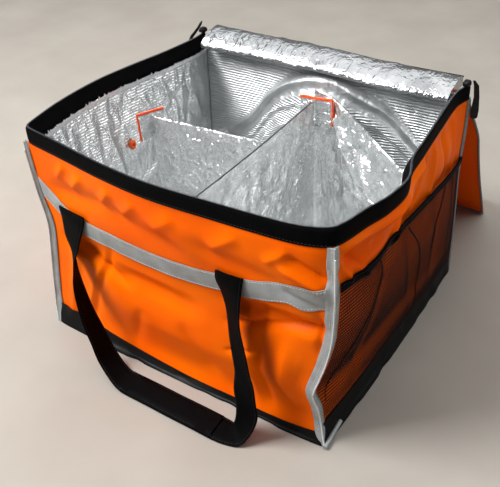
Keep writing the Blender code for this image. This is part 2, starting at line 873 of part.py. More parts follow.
def add_sliders(black, metal):
    places = {"right": ("right", 0.985), "left": ("left", 0.015)}
    for name, (side, along) in places.items():
        seat = wall_point(side, along, 1.0, rim_band_thick / 2 - rim_band_proud)
        low = bag_height + lay_gap + zip_chain_height + lay_gap
        inward = side_normal(side_names.index(side), 1.0)
        across = Vector((inward.x, inward.y, 0.0))
        ahead = Vector((-inward.y, inward.x, 0.0))
        profile = [(-0.5, 0.0), (0.5, 0.0), (0.5, 0.6), (0.3, 1.0), (-0.3, 1.0), (-0.5, 0.6)]
        sections = []
        for end, size in ((-0.5, 0.7), (-0.2, 1.0), (0.3, 0.9), (0.5, 0.6)):
            ring = []
            for side_step, rise in profile:
                point = Vector((seat.x, seat.y, low)) + ahead * end * slider_length
                point += across * side_step * slider_width * size
                point.z += rise * slider_height * size
                ring.append(point)
            sections.append(ring)
        add_sweep("zip_slider_" + name, sections, metal)
        add_pull(name, metal)


def add_pull(name, metal):
    """Flat zip pull along its route, from the slider to its rounded end."""
    route = pull_routes[name]
    corner = wall_point(name, 1.0 if name == "right" else 0.0, 1.0, 0.0)
    way = Vector(pull_widths[name]).normalized()

    def point(across, row, layer):
        place = corner + Vector(route[row][:3]) * pull_length
        ahead = Vector(route[min(row + 1, len(route) - 1)][:3]) - Vector(route[max(row - 1, 0)][:3])
        face = way.cross(ahead).normalized()
        half = route[row][3] * pull_width / 2
        return place + way * across * half + face * (layer - 0.5) * pull_thick

    add_slab("zip_pull_" + name, [-1.0, 1.0], range(len(route)), point, metal)


def build():
    clear_scene()
    orange = new_material("orange_coated_fabric", (0.90, 0.16, 0.01), 0.42)
    black = new_material("black_webbing", (0.010, 0.011, 0.013), 0.75)
    foil = new_material("aluminised_foil", (0.62, 0.63, 0.64), 0.28, 0.9)
    reflective = new_material("reflective_tape", (0.42, 0.44, 0.44), 0.5, 0.2)
    grey = new_material("grey_piping", (0.25, 0.25, 0.26), 0.6)
    net = new_material("black_net", (0.02, 0.015, 0.012), 0.8)
    edging = new_material("orange_edging", (0.80, 0.10, 0.01), 0.5)
    metal = new_material("black_slider", (0.01, 0.01, 0.012), 0.35, 0.6)
    add_panels(orange)
    add_liners(foil)
    add_base(black, foil)
    add_rim(black, metal)
    add_corner_bindings(reflective, grey)
    add_reflective_band(reflective)
    add_pocket(net, black)
    add_lid(orange, foil, black)
    add_hinge_fold(foil)
    add_dividers(foil, edging)
    add_hook_button(edging)
    add_handle(black)
    add_sliders(black, metal)


build()
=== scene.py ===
# An insulated delivery bag, open, with its lid folded back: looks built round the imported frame
import bpy
import bmesh
import math
import numpy as np
from mathutils import Matrix, Vector


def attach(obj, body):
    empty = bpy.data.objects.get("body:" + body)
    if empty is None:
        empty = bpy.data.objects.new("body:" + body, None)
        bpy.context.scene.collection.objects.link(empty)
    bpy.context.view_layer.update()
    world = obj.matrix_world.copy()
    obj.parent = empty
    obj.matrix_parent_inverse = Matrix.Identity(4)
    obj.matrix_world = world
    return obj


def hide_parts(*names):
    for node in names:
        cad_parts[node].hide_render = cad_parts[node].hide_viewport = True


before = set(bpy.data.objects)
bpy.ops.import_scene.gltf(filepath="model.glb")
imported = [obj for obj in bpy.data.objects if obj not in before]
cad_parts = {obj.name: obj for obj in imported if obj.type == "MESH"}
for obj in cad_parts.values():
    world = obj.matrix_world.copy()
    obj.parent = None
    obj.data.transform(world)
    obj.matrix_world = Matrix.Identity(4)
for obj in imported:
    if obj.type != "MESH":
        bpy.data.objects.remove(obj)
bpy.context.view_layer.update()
scene = bpy.context.scene
print("frame loaded:", len(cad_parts), "nodes")

# sizes in metres, as the frame has them
bag = {
    "width": 0.470, "depth": 0.420, "height": 0.330,
    "fabric": 0.0015, "foam": 0.0070, "board": 0.0030,
    "layGap": 0.0003, "trimGap": 0.0012,
    "rimHeight": 0.022, "facingHeight": 0.023, "bindingWidth": 0.0100,
    "backDrop": 0.0142,    # the back wall ends this far below the rim, under the foil fold
}
linerInset = bag["fabric"] + bag["layGap"]
innerFace = linerInset + bag["foam"]
floorTop = bag["board"] + bag["layGap"] + bag["foam"]
panelTop = 1 - (bag["rimHeight"] + bag["layGap"]) / bag["height"]
facingFoot = 1 - bag["facingHeight"] / bag["height"]

# corner seams: height share, share of the width, share of the depth
cornerPaths = [
    [(0.00, -0.505, -0.500), (0.08, -0.521, -0.478), (0.26, -0.518, -0.459), (0.40, -0.506, -0.452),
     (0.55, -0.498, -0.444), (0.70, -0.509, -0.445), (0.92, -0.527, -0.438), (1.00, -0.532, -0.433)],
    [(0.00, 0.495, -0.495), (0.09, 0.474, -0.474), (0.17, 0.466, -0.476), (0.25, 0.452, -0.483),
     (0.34, 0.466, -0.474), (0.42, 0.480, -0.466), (0.55, 0.493, -0.458), (0.76, 0.496, -0.455),
     (0.90, 0.490, -0.448), (1.00, 0.484, -0.434)],
    [(0.00, 0.500, 0.502), (0.12, 0.496, 0.512), (0.38, 0.4915, 0.509), (0.57, 0.487, 0.507),
     (0.80, 0.490, 0.510), (1.00, 0.487, 0.519)],
    [(0.00, -0.500, 0.500), (0.50, -0.498, 0.502), (1.00, -0.4915, 0.505)],
]
sideNames = ("front", "right", "back", "left")

# rim's stand-out from the line between its corners: place along, share of depth or width
rimBows = {
    "front": [(0.00, 0.000), (0.15, 0.024), (0.33, 0.055), (0.50, 0.070), (0.70, 0.058), (0.88, 0.042),
              (0.95, 0.026), (1.00, 0.000)],
    "right": [(0.00, 0.000), (0.05, 0.014), (0.13, 0.030), (0.22, 0.052), (0.33, 0.058), (0.44, 0.028),
              (0.55, 0.018), (0.79, -0.004), (0.93, -0.013), (1.00, 0.000)],
    "back": [(0.00, 0.000), (0.25, -0.006), (0.50, 0.006), (0.75, 0.004), (1.00, 0.000)],
    "left": [(0.00, 0.000), (0.08, -0.009), (0.25, 0.003), (0.43, 0.028), (0.60, 0.043), (0.81, 0.033),
             (1.00, 0.000)],
}
bowGrowth = [(0.00, 0.00), (0.30, 0.12), (0.55, 0.38), (0.80, 0.80), (1.00, 1.00)]

# broad folds: place along, height share, reach along, reach up, share of the depth
broadFolds = {
    "front": [(0.50, 0.30, 0.45, 0.24, 0.020), (0.14, 0.49, 0.16, 0.07, -0.016),
              (0.42, 0.44, 0.24, 0.07, -0.020), (0.84, 0.56, 0.22, 0.06, -0.024),
              (0.91, 0.30, 0.08, 0.22, 0.014), (0.60, 0.80, 0.30, 0.12, 0.008)],
    "right": [(0.12, 0.25, 0.16, 0.20, -0.020), (0.35, 0.72, 0.24, 0.14, -0.030),
              (0.80, 0.76, 0.16, 0.14, 0.022), (0.62, 0.40, 0.30, 0.25, 0.010)],
    "back": [(0.50, 0.45, 0.42, 0.32, 0.014)],
    "left": [(0.50, 0.40, 0.40, 0.30, 0.020), (0.88, 0.52, 0.14, 0.20, -0.016)],
}

# creases in the outer cloth: start (along, height share), end, reach in mm, depth in mm
# (a ridge is positive), how sharp from 0 to 1
creases = {
    "front": [
        (0.10, 0.50, 0.34, 0.385, 9, -3.6, 0.5), (0.70, 0.44, 1.00, 0.585, 9, -4.6, 0.6),
        (0.34, 0.385, 0.60, 0.40, 14, -1.8, 0.2), (0.71, 0.285, 0.80, 0.335, 5, -1.8, 0.5),
        (0.27, 0.56, 0.145, 0.02, 7, -1.6, 0.3), (0.235, 0.52, 0.12, 0.05, 6, 1.2, 0.3),
        (0.755, 0.64, 0.81, 0.02, 9, 1.8, 0.3), (0.80, 0.60, 0.85, 0.03, 7, -1.5, 0.3),
        (0.155, 0.90, 0.105, 0.82, 7, 2.0, 0.5), (0.225, 0.88, 0.165, 0.80, 8, 2.2, 0.5),
        (0.345, 0.885, 0.29, 0.80, 8, 2.0, 0.4), (0.44, 0.88, 0.37, 0.79, 9, 1.8, 0.4),
        (0.57, 0.88, 0.49, 0.80, 10, 1.6, 0.3), (0.76, 0.89, 0.67, 0.80, 9, 1.8, 0.4),
        (0.90, 0.89, 0.83, 0.82, 7, 1.8, 0.4), (0.06, 0.745, 0.30, 0.79, 15, -2.8, 0.1),
        (0.28, 0.79, 0.58, 0.735, 17, -2.6, 0.1), (0.60, 0.80, 0.90, 0.72, 14, -2.4, 0.1),
        (0.89, 0.875, 1.00, 0.79, 6, -3.4, 0.6), (0.87, 0.82, 1.00, 0.745, 7, 3.0, 0.3),
        (0.86, 0.71, 0.99, 0.665, 6, -2.0, 0.4), (0.965, 0.64, 0.985, 0.44, 5, -3.0, 0.5),
        (0.885, 0.44, 0.935, 0.10, 12, 2.6, 0.2), (0.11, 0.48, 0.06, 0.03, 10, 2.2, 0.2),
        (0.55, 0.33, 0.66, 0.10, 12, -1.6, 0.2), (0.40, 0.30, 0.33, 0.06, 11, -1.4, 0.2),
    ],
    "right": [
        (0.00, 0.915, 0.30, 0.905, 8, 3.6, 0.2), (0.26, 0.905, 0.62, 0.895, 8, 3.2, 0.2),
        (0.02, 0.83, 0.24, 0.825, 14, -5.0, 0.1), (0.20, 0.825, 0.46, 0.80, 13, -5.6, 0.1),
        (0.33, 0.705, 0.45, 0.80, 5, 4.4, 0.5), (0.02, 0.87, 0.075, 0.76, 6, 3.4, 0.4),
        (0.06, 0.88, 0.13, 0.77, 5, -3.0, 0.5), (0.10, 0.80, 0.16, 0.72, 6, 2.2, 0.4),
        (0.60, 0.92, 0.52, 0.74, 8, -4.0, 0.4), (0.68, 0.92, 0.66, 0.66, 10, 3.6, 0.3),
        (0.79, 0.92, 0.82, 0.60, 9, -3.4, 0.4), (0.90, 0.92, 0.90, 0.55, 9, 3.0, 0.3),
        (0.10, 0.60, 0.42, 0.50, 16, -3.0, 0.1), (0.40, 0.42, 0.80, 0.50, 16, -2.6, 0.1),
    ],
    "back": [
        (0.20, 0.80, 0.34, 0.45, 14, 2.4, 0.2), (0.70, 0.75, 0.60, 0.40, 15, -2.6, 0.2),
        (0.10, 0.30, 0.40, 0.22, 12, -2.2, 0.3), (0.55, 0.25, 0.90, 0.33, 12, 2.2, 0.3),
        (0.85, 0.85, 0.93, 0.50, 9, -2.4, 0.4), (0.04, 0.80, 0.12, 0.52, 9, 2.2, 0.4),
    ],
    "left": [
        (0.15, 0.86, 0.30, 0.70, 10, 2.4, 0.3), (0.42, 0.88, 0.36, 0.66, 11, -2.6, 0.3),
        (0.62, 0.88, 0.70, 0.68, 10, 2.4, 0.3), (0.84, 0.86, 0.76, 0.62, 10, -2.4, 0.3),
        (0.20, 0.46, 0.55, 0.40, 14, -3.0, 0.2), (0.60, 0.36, 0.95, 0.46, 13, -3.0, 0.3),
        (0.90, 0.60, 0.96, 0.30, 8, 2.6, 0.3), (0.10, 0.50, 0.06, 0.12, 10, 2.0, 0.2),
    ],
}
# unevenness over all of the skin, and a factor on the creases' depths
cloth = {"swell": 0.0009, "swellSize": (0.085, 0.060), "ripple": 0.00035, "rippleSize": (0.026, 0.021),
         "creaseDepth": 1.85}


def softRead(rows, keys, column=1):
    # value of a column at keys, on a smooth curve through the rows
    table = np.array(rows, float)
    x, y = table[:, 0], table[:, column]
    last = len(x) - 1
    k = np.clip(np.asarray(keys, float), x[0], x[-1])
    i = np.clip(np.searchsorted(x, k, side="left") - 1, 0, last - 1)
    before, after = np.maximum(i - 1, 0), np.minimum(i + 2, last)
    span = x[i + 1] - x[i]
    slopeLow = (y[i + 1] - y[before]) / (x[i + 1] - x[before]) * span
    slopeHigh = (y[after] - y[i]) / (x[after] - x[i]) * span
    t = (k - x[i]) / span
    low = y[i] * (1 + 2 * t) * (1 - t) ** 2 + slopeLow * t * (1 - t) ** 2
    return low + y[i + 1] * t * t * (3 - 2 * t) + slopeHigh * t * t * (t - 1)


def easeStep(low, high, value):
    # 0 below low, 1 above high, and smooth between
    t = np.clip((value - low) / (high - low), 0, 1)
    return t * t * (3 - 2 * t)


def latticeNoise(x, y, seed):
    # smooth noise from -1 to 1, one cell a unit
    lattice = np.random.default_rng(seed).uniform(-1, 1, (64, 64))
    xi, yi = np.floor(x).astype(int), np.floor(y).astype(int)
    fx, fy = x - xi, y - yi
    fx, fy = fx ** 3 * (fx * (fx * 6 - 15) + 10), fy ** 3 * (fy * (fy * 6 - 15) + 10)
    near = lattice[yi % 64, xi % 64] * (1 - fx) + lattice[yi % 64, (xi + 1) % 64] * fx
    far = lattice[(yi + 1) % 64, xi % 64] * (1 - fx) + lattice[(yi + 1) % 64, (xi + 1) % 64] * fx
    return near * (1 - fy) + far * fy


def crumple(x, y, size, seed, octaves=3):
    # crushed film: sharp ridges between shallow cups, from about -1 to 1; x, y and size in metres
    warpX = 0.7 * latticeNoise(x / size * 0.8 + 9, y / size * 0.8, seed + 50)
    warpY = 0.7 * latticeNoise(x / size * 0.8, y / size * 0.8 + 9, seed + 51)
    total, gain, weight = 0.0, 1.0, 0.0
    for octave in range(octaves):
        grain = 2.1 ** octave / size
        total = total + gain * (1 - 3.0 * np.abs(latticeNoise(x * grain + warpX, y * grain + warpY, seed + octave)))
        weight += gain
        gain *= 0.5
    return total / weight


def unit(ways):
    return ways / np.linalg.norm(ways, axis=-1, keepdims=True)


def cornerAt(number, v):
    # a corner seam's place in plan
    rows = cornerPaths[number % 4]
    return np.stack([softRead(rows, v, 1) * bag["width"], softRead(rows, v, 2) * bag["depth"]], -1)


def inwardOf(number, v):
    # into the bag, square to the line between two corners
    way = unit(cornerAt(number + 1, v) - cornerAt(number, v))
    return np.stack([-way[..., 1], way[..., 0]], -1)


def mitreAt(number, v):
    # how a corner moves for each metre that both its walls go in
    a, b = inwardOf(number - 1, v), inwardOf(number, v)
    return (a + b) / (1 + (a * b).sum(-1, keepdims=True))


def sideLength(side):
    number = sideNames.index(side)
    half = np.array(0.5)
    return float(np.linalg.norm(cornerAt(number + 1, half) - cornerAt(number, half)))


def bump(distance, reach):
    # one smooth hump, 1 at no distance and 0 from its reach on
    return np.where(np.abs(distance) < reach, 0.5 + 0.5 * np.cos(np.pi * distance / reach), 0.0)


def bowOf(side, u, v):
    # stand-out of the wall from the line between its corners, broad folds with it
    across = bag["depth"] if side in ("front", "back") else bag["width"]
    out = softRead(rimBows[side], u) * across * softRead(bowGrowth, v)
    hold = np.minimum(np.minimum(u, 1 - u) / 0.06, 1.0)
    for place, level, reachAlong, reachUp, share in broadFolds[side]:
        out = out + share * bag["depth"] * hold * bump(u - place, reachAlong) * bump(v - level, reachUp)
    return out


def lineFolds(rows, x, y, length, height):
    # ridges and grooves along straight lines, faded at their ends; x and y in metres
    out = 0.0
    for u0, v0, u1, v1, reach, depth, sharp in rows:
        start = np.array([u0 * length, v0 * height])
        way = np.array([u1 * length, v1 * height]) - start
        run = np.linalg.norm(way)
        way = way / run
        t = ((x - start[0]) * way[0] + (y - start[1]) * way[1]) / run
        off = np.abs((x - start[0]) * -way[1] + (y - start[1]) * way[0]) / (reach / 1000)
        fade = easeStep(-0.12, 0.22, t) * (1 - easeStep(0.78, 1.12, t))
        out = out + depth / 1000 * fade * ((1 - sharp) * np.exp(-off * off) + sharp * np.exp(-1.6 * off))
    return out


def strewnFolds(seed, count, lean, reach, depth):
    # folds hanging from a top edge, strewn by a fixed seed
    random = np.random.default_rng(seed)
    rows = []
    for number in range(count):
        u, top = (number + random.uniform(0.1, 0.9)) / count, random.uniform(0.78, 0.97)
        run = random.uniform(0.18, 0.45)
        rows.append((u, top, u + lean * run * random.uniform(-1, 1), top - run, reach * random.uniform(0.6, 1.3),
                     depth * random.choice((-1, 1)) * random.uniform(0.5, 1.2), random.uniform(0.4, 0.9)))
    return rows


def creaseOf(side, u, v):
    # sewn cloth's creases and slight unevenness, none at the rim, foot and corners
    length, number = sideLength(side), sideNames.index(side)
    x, y = u * length, v * bag["height"]
    out = cloth["creaseDepth"] * lineFolds(creases[side], x, y, length, bag["height"])
    for depth, size, seed in (("swell", "swellSize", 11), ("ripple", "rippleSize", 21)):
        out = out + cloth[depth] * latticeNoise(x / cloth[size][0], y / cloth[size][1], number + seed)
    edge = np.minimum(u, 1 - u) * length
    return out * easeStep(0.0, 0.016, edge) * easeStep(0.01, 0.09, v) * (1 - easeStep(0.905, 0.94, v))


def wall(side, u, v, out=0.0, creased=1.0):
    # point of a wall at a share along it and up it, out from its outer face in metres
    number = sideNames.index(side)
    u, v, out = np.broadcast_arrays(np.asarray(u, float), np.asarray(v, float), np.asarray(out, float))
    start = cornerAt(number, v) - mitreAt(number, v) * out[..., None]
    end = cornerAt(number + 1, v) - mitreAt(number + 1, v) * out[..., None]
    bow = bowOf(side, u, v) + (creased * creaseOf(side, u, v) if creased else 0.0)
    flat = start + (end - start) * u[..., None] - inwardOf(number, v) * bow[..., None]
    return np.concatenate([flat, (v * bag["height"])[..., None]], -1)


def wallTop(side):
    return panelTop if side != "back" else 1 - bag["backDrop"] / bag["height"]


def outwardOf(side, v):
    flat = -inwardOf(sideNames.index(side), np.asarray(v, float))
    return np.concatenate([flat, np.zeros(flat.shape[:-1] + (1,))], -1)


# meshes

def addObject(name, data):
    added = bpy.data.objects.new(name, data)
    scene.collection.objects.link(added)
    return added


def setInFrame(piece, replaced):
    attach(piece, "root")
    if replaced:
        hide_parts(*replaced)


def finishPiece(name, points, faces, material, replaced=(), uv=None, sharpAt=50):
    # mesh to finished object: faces outward, its UV map, its material, and its place in the frame
    mesh = bpy.data.meshes.new(name)
    mesh.from_pydata(np.asarray(points).reshape(-1, 3).tolist(), [], faces)
    shell = bmesh.new()
    shell.from_mesh(mesh)
    bmesh.ops.recalc_face_normals(shell, faces=shell.faces)
    shell.to_mesh(mesh)
    shell.free()
    if uv is not None:
        layer = mesh.uv_layers.new(name="cloth")
        order = np.empty(len(mesh.loops), np.int32)
        mesh.loops.foreach_get("vertex_index", order)
        layer.data.foreach_set("uv", np.asarray(uv, np.float32)[order].ravel())
    mesh.materials.append(material)
    mesh.shade_smooth()
    mesh.set_sharp_from_angle(angle=math.radians(sharpAt))
    piece = addObject(name, mesh)
    setInFrame(piece, replaced)
    return piece


def runLengths(points):
    # distance gone at each point of a line
    steps = np.linalg.norm(np.diff(points, axis=0), axis=-1)
    return np.concatenate([[0.0], np.cumsum(steps)])


def quadsOf(index):
    # faces between the rows and columns of a grid of point numbers
    return np.stack([index[:-1, :-1], index[:-1, 1:], index[1:, 1:], index[1:, :-1]], -1).reshape(-1, 4)


def gridPiece(name, outer, inner, material, replaced=(), sharpAt=50):
    # closed slab between two grids of points; its UV map is in metres
    rows, cols = outer.shape[:2]
    count = rows * cols
    index = np.arange(count).reshape(rows, cols)
    top = quadsOf(index)
    ring = np.concatenate([index[0, :-1], index[:-1, -1], index[-1, :0:-1], index[:0:-1, 0]])
    after = np.roll(ring, -1)
    rim = np.stack([after, ring, ring + count, after + count], -1)
    faces = np.concatenate([top, top[:, ::-1] + count, rim]).tolist()
    across, up = runLengths(outer[rows // 2]), runLengths(outer[:, cols // 2])
    uv = np.stack(np.meshgrid(across, up), -1).reshape(-1, 2)
    points = np.concatenate([outer.reshape(-1, 3), inner.reshape(-1, 3)])
    return finishPiece(name, points, faces, material, replaced, np.concatenate([uv, uv]), sharpAt)


def sweepPiece(name, rings, material, replaced=(), sharpAt=50, loop=False):
    # closed solid through rings of points; its UV map is in metres
    rings = np.asarray(rings, float)
    count, around = rings.shape[:2]
    index = np.arange(count * around).reshape(count, around)
    here, there = (index, np.roll(index, -1, 0)) if loop else (index[:-1], index[1:])
    quads = np.stack([here, np.roll(here, -1, 1), np.roll(there, -1, 1), there], -1).reshape(-1, 4).tolist()
    if not loop:
        quads += [index[0, ::-1].tolist(), index[-1].tolist()]
    girth, along = runLengths(rings[0]), runLengths(rings.mean(1))
    uv = np.stack(np.meshgrid(girth, along), -1).reshape(-1, 2)
    return finishPiece(name, rings, quads, material, replaced, uv, sharpAt)


def makePiping(name, path, radius, material, sides=8):
    # round cord in its cloth, along a path
    ahead = unit(np.gradient(path, axis=0))
    side = unit(np.cross(ahead, (0.03, 0.05, 1.0)))    # off the upright, so that no path runs along it
    lift = np.cross(side, ahead)
    turns = np.linspace(0, 2 * np.pi, sides, endpoint=False)
    rings = path[:, None] + radius * (side[:, None] * np.cos(turns)[None, :, None]
                                      + lift[:, None] * np.sin(turns)[None, :, None])
    return sweepPiece(name, rings, material)


def wallPatch(name, side, u, v, out, thick, material, replaced=(), creased=1.0):
    # strip lying on a wall: out and thick in metres
    outer = wall(side, u, v, np.asarray(out) + thick, creased)
    return gridPiece(name, outer, wall(side, u, v, out, creased), material, replaced)


# materials

def toLinear(hexText):
    parts = [int(hexText[i:i + 2], 16) / 255 for i in (0, 2, 4)]
    return tuple(p / 12.92 if p <= 0.04045 else ((p + 0.055) / 1.055) ** 2.4 for p in parts) + (1.0,)


def addNode(tree, kind, feeds=None, **settings):
    node = tree.nodes.new(kind)
    for key, value in settings.items():
        setattr(node, key, value)
    for key, value in (feeds or {}).items():
        if isinstance(value, bpy.types.NodeSocket):
            tree.links.new(value, node.inputs[key])
        else:
            node.inputs[key].default_value = value
    return node


def newMaterial(name, colour, roughness, **sockets):
    # also gives the places on the object, by its own axes and by its UV map
    material = bpy.data.materials.new(name)
    material.use_nodes = True
    tree = material.node_tree
    shader = tree.nodes["Principled BSDF"]
    shader.inputs["Base Color"].default_value = toLinear(colour)
    shader.inputs["Roughness"].default_value = roughness
    for key, value in sockets.items():
        shader.inputs[key.replace("_", " ")].default_value = value
    return material, tree, shader, addNode(tree, "ShaderNodeTexCoord").outputs


def noiseOf(tree, place, scale, detail, **more):
    feeds = {"Vector": place["Object"], "Scale": scale, "Detail": detail, **more}
    return addNode(tree, "ShaderNodeTexNoise", feeds).outputs["Fac"]


def stripesOf(tree, place, period, way="X", **more):
    # stripes that far apart in metres, across the cloth's own U or V
    feeds = {"Vector": place["UV"], "Scale": 2 * math.pi / 20 / period, **more}
    return addNode(tree, "ShaderNodeTexWave", feeds, bands_direction=way).outputs["Fac"]


def paint(tree, shader, factor, stops, socket="Base Color"):
    # colour ramp from a factor; stops are (place, hex)
    ramp = addNode(tree, "ShaderNodeValToRGB", {"Fac": factor})
    marks = ramp.color_ramp.elements
    for i, (place, colour) in enumerate(stops):
        mark = marks[i] if i < 2 else marks.new(place)
        mark.position, mark.color = place, toLinear(colour)
    tree.links.new(ramp.outputs["Color"], shader.inputs[socket])
    return ramp


def spreadRough(tree, shader, factor, low, high):
    # roughness between two values, by a factor
    reach = addNode(tree, "ShaderNodeMapRange", {"Value": factor, "To Min": low, "To Max": high})
    tree.links.new(reach.outputs["Result"], shader.inputs["Roughness"])


def raiseBumps(tree, shader, layers):
    # bumps laid one on another; each layer is (height socket, strength, distance in metres)
    normal = None
    for height, strength, distance in layers:
        feeds = {"Height": height, "Strength": strength, "Distance": distance}
        if normal:
            feeds["Normal"] = normal
        normal = addNode(tree, "ShaderNodeBump", feeds).outputs["Normal"]
    tree.links.new(normal, shader.inputs["Normal"])


def makeOrangeCloth():
    # polyester oxford with a polyurethane coat: soft satin shine over a fine plain weave
    material, tree, shader, place = newMaterial("coatedOxfordOrange", "FF6600", 0.42, Specular_IOR_Level=0.05)
    broad, fine = noiseOf(tree, place, 9.0, 4.0), noiseOf(tree, place, 140.0, 3.0)
    paint(tree, shader, broad, [(0.30, "FB5E00"), (0.70, "FF6E00")])
    spreadRough(tree, shader, fine, 0.34, 0.50)
    # threads are 0.5 mm apart, too fine for the render: drawn at 1.3 mm
    warp, weft = stripesOf(tree, place, 0.0013), stripesOf(tree, place, 0.0013, "Y")
    raiseBumps(tree, shader, [(warp, 0.12, 0.0002), (weft, 0.12, 0.0002), (fine, 0.25, 0.0006)])
    return material


def makeFoil(name, ribStrength, crushStrength, wrinkleSize, low, high, masked=False):
    # aluminised film on woven backing: mirror-like but crushed, so that it glints in patches;
    # the backing's ribs are 2.2 mm apart, and drawn at 4.4 mm to show
    material, tree, shader, place = newMaterial(name, "EEF0F0", 0.3, Metallic=0.88)
    broad = noiseOf(tree, place, 22.0, 3.0, Distortion=0.8)
    crush = noiseOf(tree, place, 1.0 / wrinkleSize, 2.0, Roughness=0.5, Distortion=1.4)
    facets = addNode(tree, "ShaderNodeTexVoronoi", {"Vector": place["Object"], "Scale": 0.7 / wrinkleSize},
                     feature="DISTANCE_TO_EDGE").outputs["Distance"]
    sparkle = noiseOf(tree, place, 260.0, 1.0)
    ribs = stripesOf(tree, place, 0.0044, "Y", Distortion=1.6, Detail=2.0, **{"Detail Scale": 0.8})
    paint(tree, shader, broad, [(0.25, low), (0.72, high)])
    spreadRough(tree, shader, crush, *((0.34, 0.56) if masked else (0.12, 0.34)))
    if masked:
        shown = addNode(tree, "ShaderNodeAttribute", attribute_name="ribs").outputs["Fac"]
        ribs = addNode(tree, "ShaderNodeMath", {0: ribs, 1: shown}, operation="MULTIPLY").outputs["Value"]
    raiseBumps(tree, shader, [(facets, 0.8 * crushStrength, 0.006), (crush, crushStrength, 0.007),
                              (ribs, ribStrength, 0.0016), (sparkle, 0.5, 0.0012)])
    return material


def makeWebbing(name, colour, period, shine):
    # woven polyester tape: dull black that drinks the light, with ribs across its length
    material, tree, shader, place = newMaterial(name, colour, shine, Specular_IOR_Level=0.05)
    ribs = stripesOf(tree, place, period, "Y", Distortion=0.6)
    cords = stripesOf(tree, place, period * 1.8)
    lint = noiseOf(tree, place, 60.0, 5.0)
    paint(tree, shader, lint, [(0.35, colour), (0.85, "050506")])
    raiseBumps(tree, shader, [(ribs, 0.5, 0.0004), (cords, 0.3, 0.0003), (lint, 0.2, 0.0006)])
    return material


def makeBaseCloth():
    # coated black cloth of the base: slightly shiny, dusty near the floor
    material, tree, shader, place = newMaterial("coatedBaseCloth", "040405", 0.45, Specular_IOR_Level=0.18)
    dust, weave = noiseOf(tree, place, 35.0, 6.0), stripesOf(tree, place, 0.0016)
    paint(tree, shader, dust, [(0.45, "030304"), (0.85, "0C0C0B")])
    spreadRough(tree, shader, dust, 0.40, 0.70)
    raiseBumps(tree, shader, [(weave, 0.2, 0.0003), (dust, 0.4, 0.002)])
    return material


def makeReflective():
    # glass-bead reflective tape: flat satin grey, slightly mottled by handling
    material, tree, shader, place = newMaterial("glassBeadTape", "A3A7A7", 0.46, Metallic=0.25)
    marks = noiseOf(tree, place, 45.0, 5.0, Roughness=0.65)
    beads = addNode(tree, "ShaderNodeTexVoronoi", {"Vector": place["Object"], "Scale": 900.0}).outputs["Distance"]
    paint(tree, shader, marks, [(0.25, "8B8F90"), (0.60, "A5A9A9"), (0.85, "B6BABA")])
    spreadRough(tree, shader, marks, 0.38, 0.55)
    raiseBumps(tree, shader, [(beads, 0.10, 0.0003), (marks, 0.25, 0.001)])
    return material


def makePlain(name, colour, light, roughness, grain, **sockets):
    # a small trim's finish: two close tones in a fine grain, so that it never reads as flat paint
    material, tree, shader, place = newMaterial(name, colour, roughness, **sockets)
    tone = noiseOf(tree, place, grain, 4.0)
    paint(tree, shader, tone, [(0.35, colour), (0.75, light)])
    raiseBumps(tree, shader, [(tone, 0.3, 0.0005)])
    return material


orangeCloth = makeOrangeCloth()
# films: how strong the ribs and the crush are, the wrinkles' size in metres, dark and light tone
foilWall = makeFoil("aluminisedFilmCrushed", 0.55, 0.35, 0.016, "DADDDD", "FAFBFB")
# the back lining's film: the same film in a darker tone, painted shade
foilRibbedPaintedShade = makeFoil("aluminisedFilmRibbedPaintedShade", 1.0, 0.22, 0.028, "BEC1C2", "E2E4E5", masked=True)
# the dividers' film: the same film in a lighter tone, painted light
foilSmoothPaintedLight = makeFoil("aluminisedFilmPaddedPaintedLight", 0.25, 0.42, 0.013, "E2E5E5", "FCFDFD")
# the hinge fold's film: the same film in a far darker tone, painted shade
foilFoldPaintedShade = makeFoil("aluminisedFilmFoldedPaintedShade", 0.08, 0.30, 0.014, "8C8F91", "B8BABB")
# tapes: colour, the ribs' distance in metres, roughness
webbing = makeWebbing("polyesterWebbing", "020203", 0.0022, 0.65)
rimTape = makeWebbing("polyesterBindingTape", "010102", 0.0016, 0.70)
baseCloth = makeBaseCloth()
reflective = makeReflective()
# trims: colour, lighter tone, roughness, grain; the note is what each gives the eye
trims = {
    "ridgePaintedHighlight": ("ridgeCordPaintedHighlight", "C6C8C8", "DFE0E0", 0.55, 260.0, {}),    # a pale cord whose colour is a painted highlight along the binding's ridge
    "greyPiping": ("wovenPipingGrey", "6F7376", "8C9092", 0.6, 300.0, {}),    # dull, with a fine grain
    "netThread": ("polyesterNetPaintedWarmBounce", "1A0B07", "2C120A", 0.75, 200.0,
                  {"Specular_IOR_Level": 0.2}),    # black thread tinted warm: painted bounce light from the orange wall behind it
    "orangeTape": ("ribbonEdgingOrange", "E8430C", "FF6A1C", 0.45, 160.0,
                   {"Sheen_Weight": 0.1}),    # redder than the skin, with a ribbon's soft sheen
    "sliderMetal": ("lacqueredZincBlack", "0C0C0E", "1C1C20", 0.34, 90.0, {"Metallic": 0.6}),    # black gloss
    "coilNylon": ("nylonCoilPaintedHighlight", "2C2E32", "54575C", 0.38, 240.0, {}),    # greyer and shinier than the tape; the grey is partly the coil's own tone and partly a painted highlight line
    "paleThread": ("polyesterThreadPale", "C9CBCB", "E6E7E7", 0.6, 400.0, {}),    # small light dashes
    "darkThread": ("polyesterThreadBlack", "15161A", "26282C", 0.6, 400.0, {}),    # dashes just above black
    "buttonPlastic": ("mouldedPlasticOrange", "F0500A", "FF7A2A", 0.35, 60.0, {}),    # smooth, clear highlights
    "foilFray": ("aluminisedFilmFrayed", "D4D6D6", "F4F5F5", 0.35, 500.0, {"Metallic": 0.7}),    # bright specks
}
trim = {label: makePlain(*row[:5], **row[5]) for label, row in trims.items()}
print("materials made")

seams = {"pale": [], "dark": []}    # runs of points for the stitches, by thread


def seamOnWall(thread, side, u, v, out):
    seams[thread].append(wall(side, u, v, out))


# outer walls

panels = {"columns": 200, "rows": 130, "foot": 0.010}


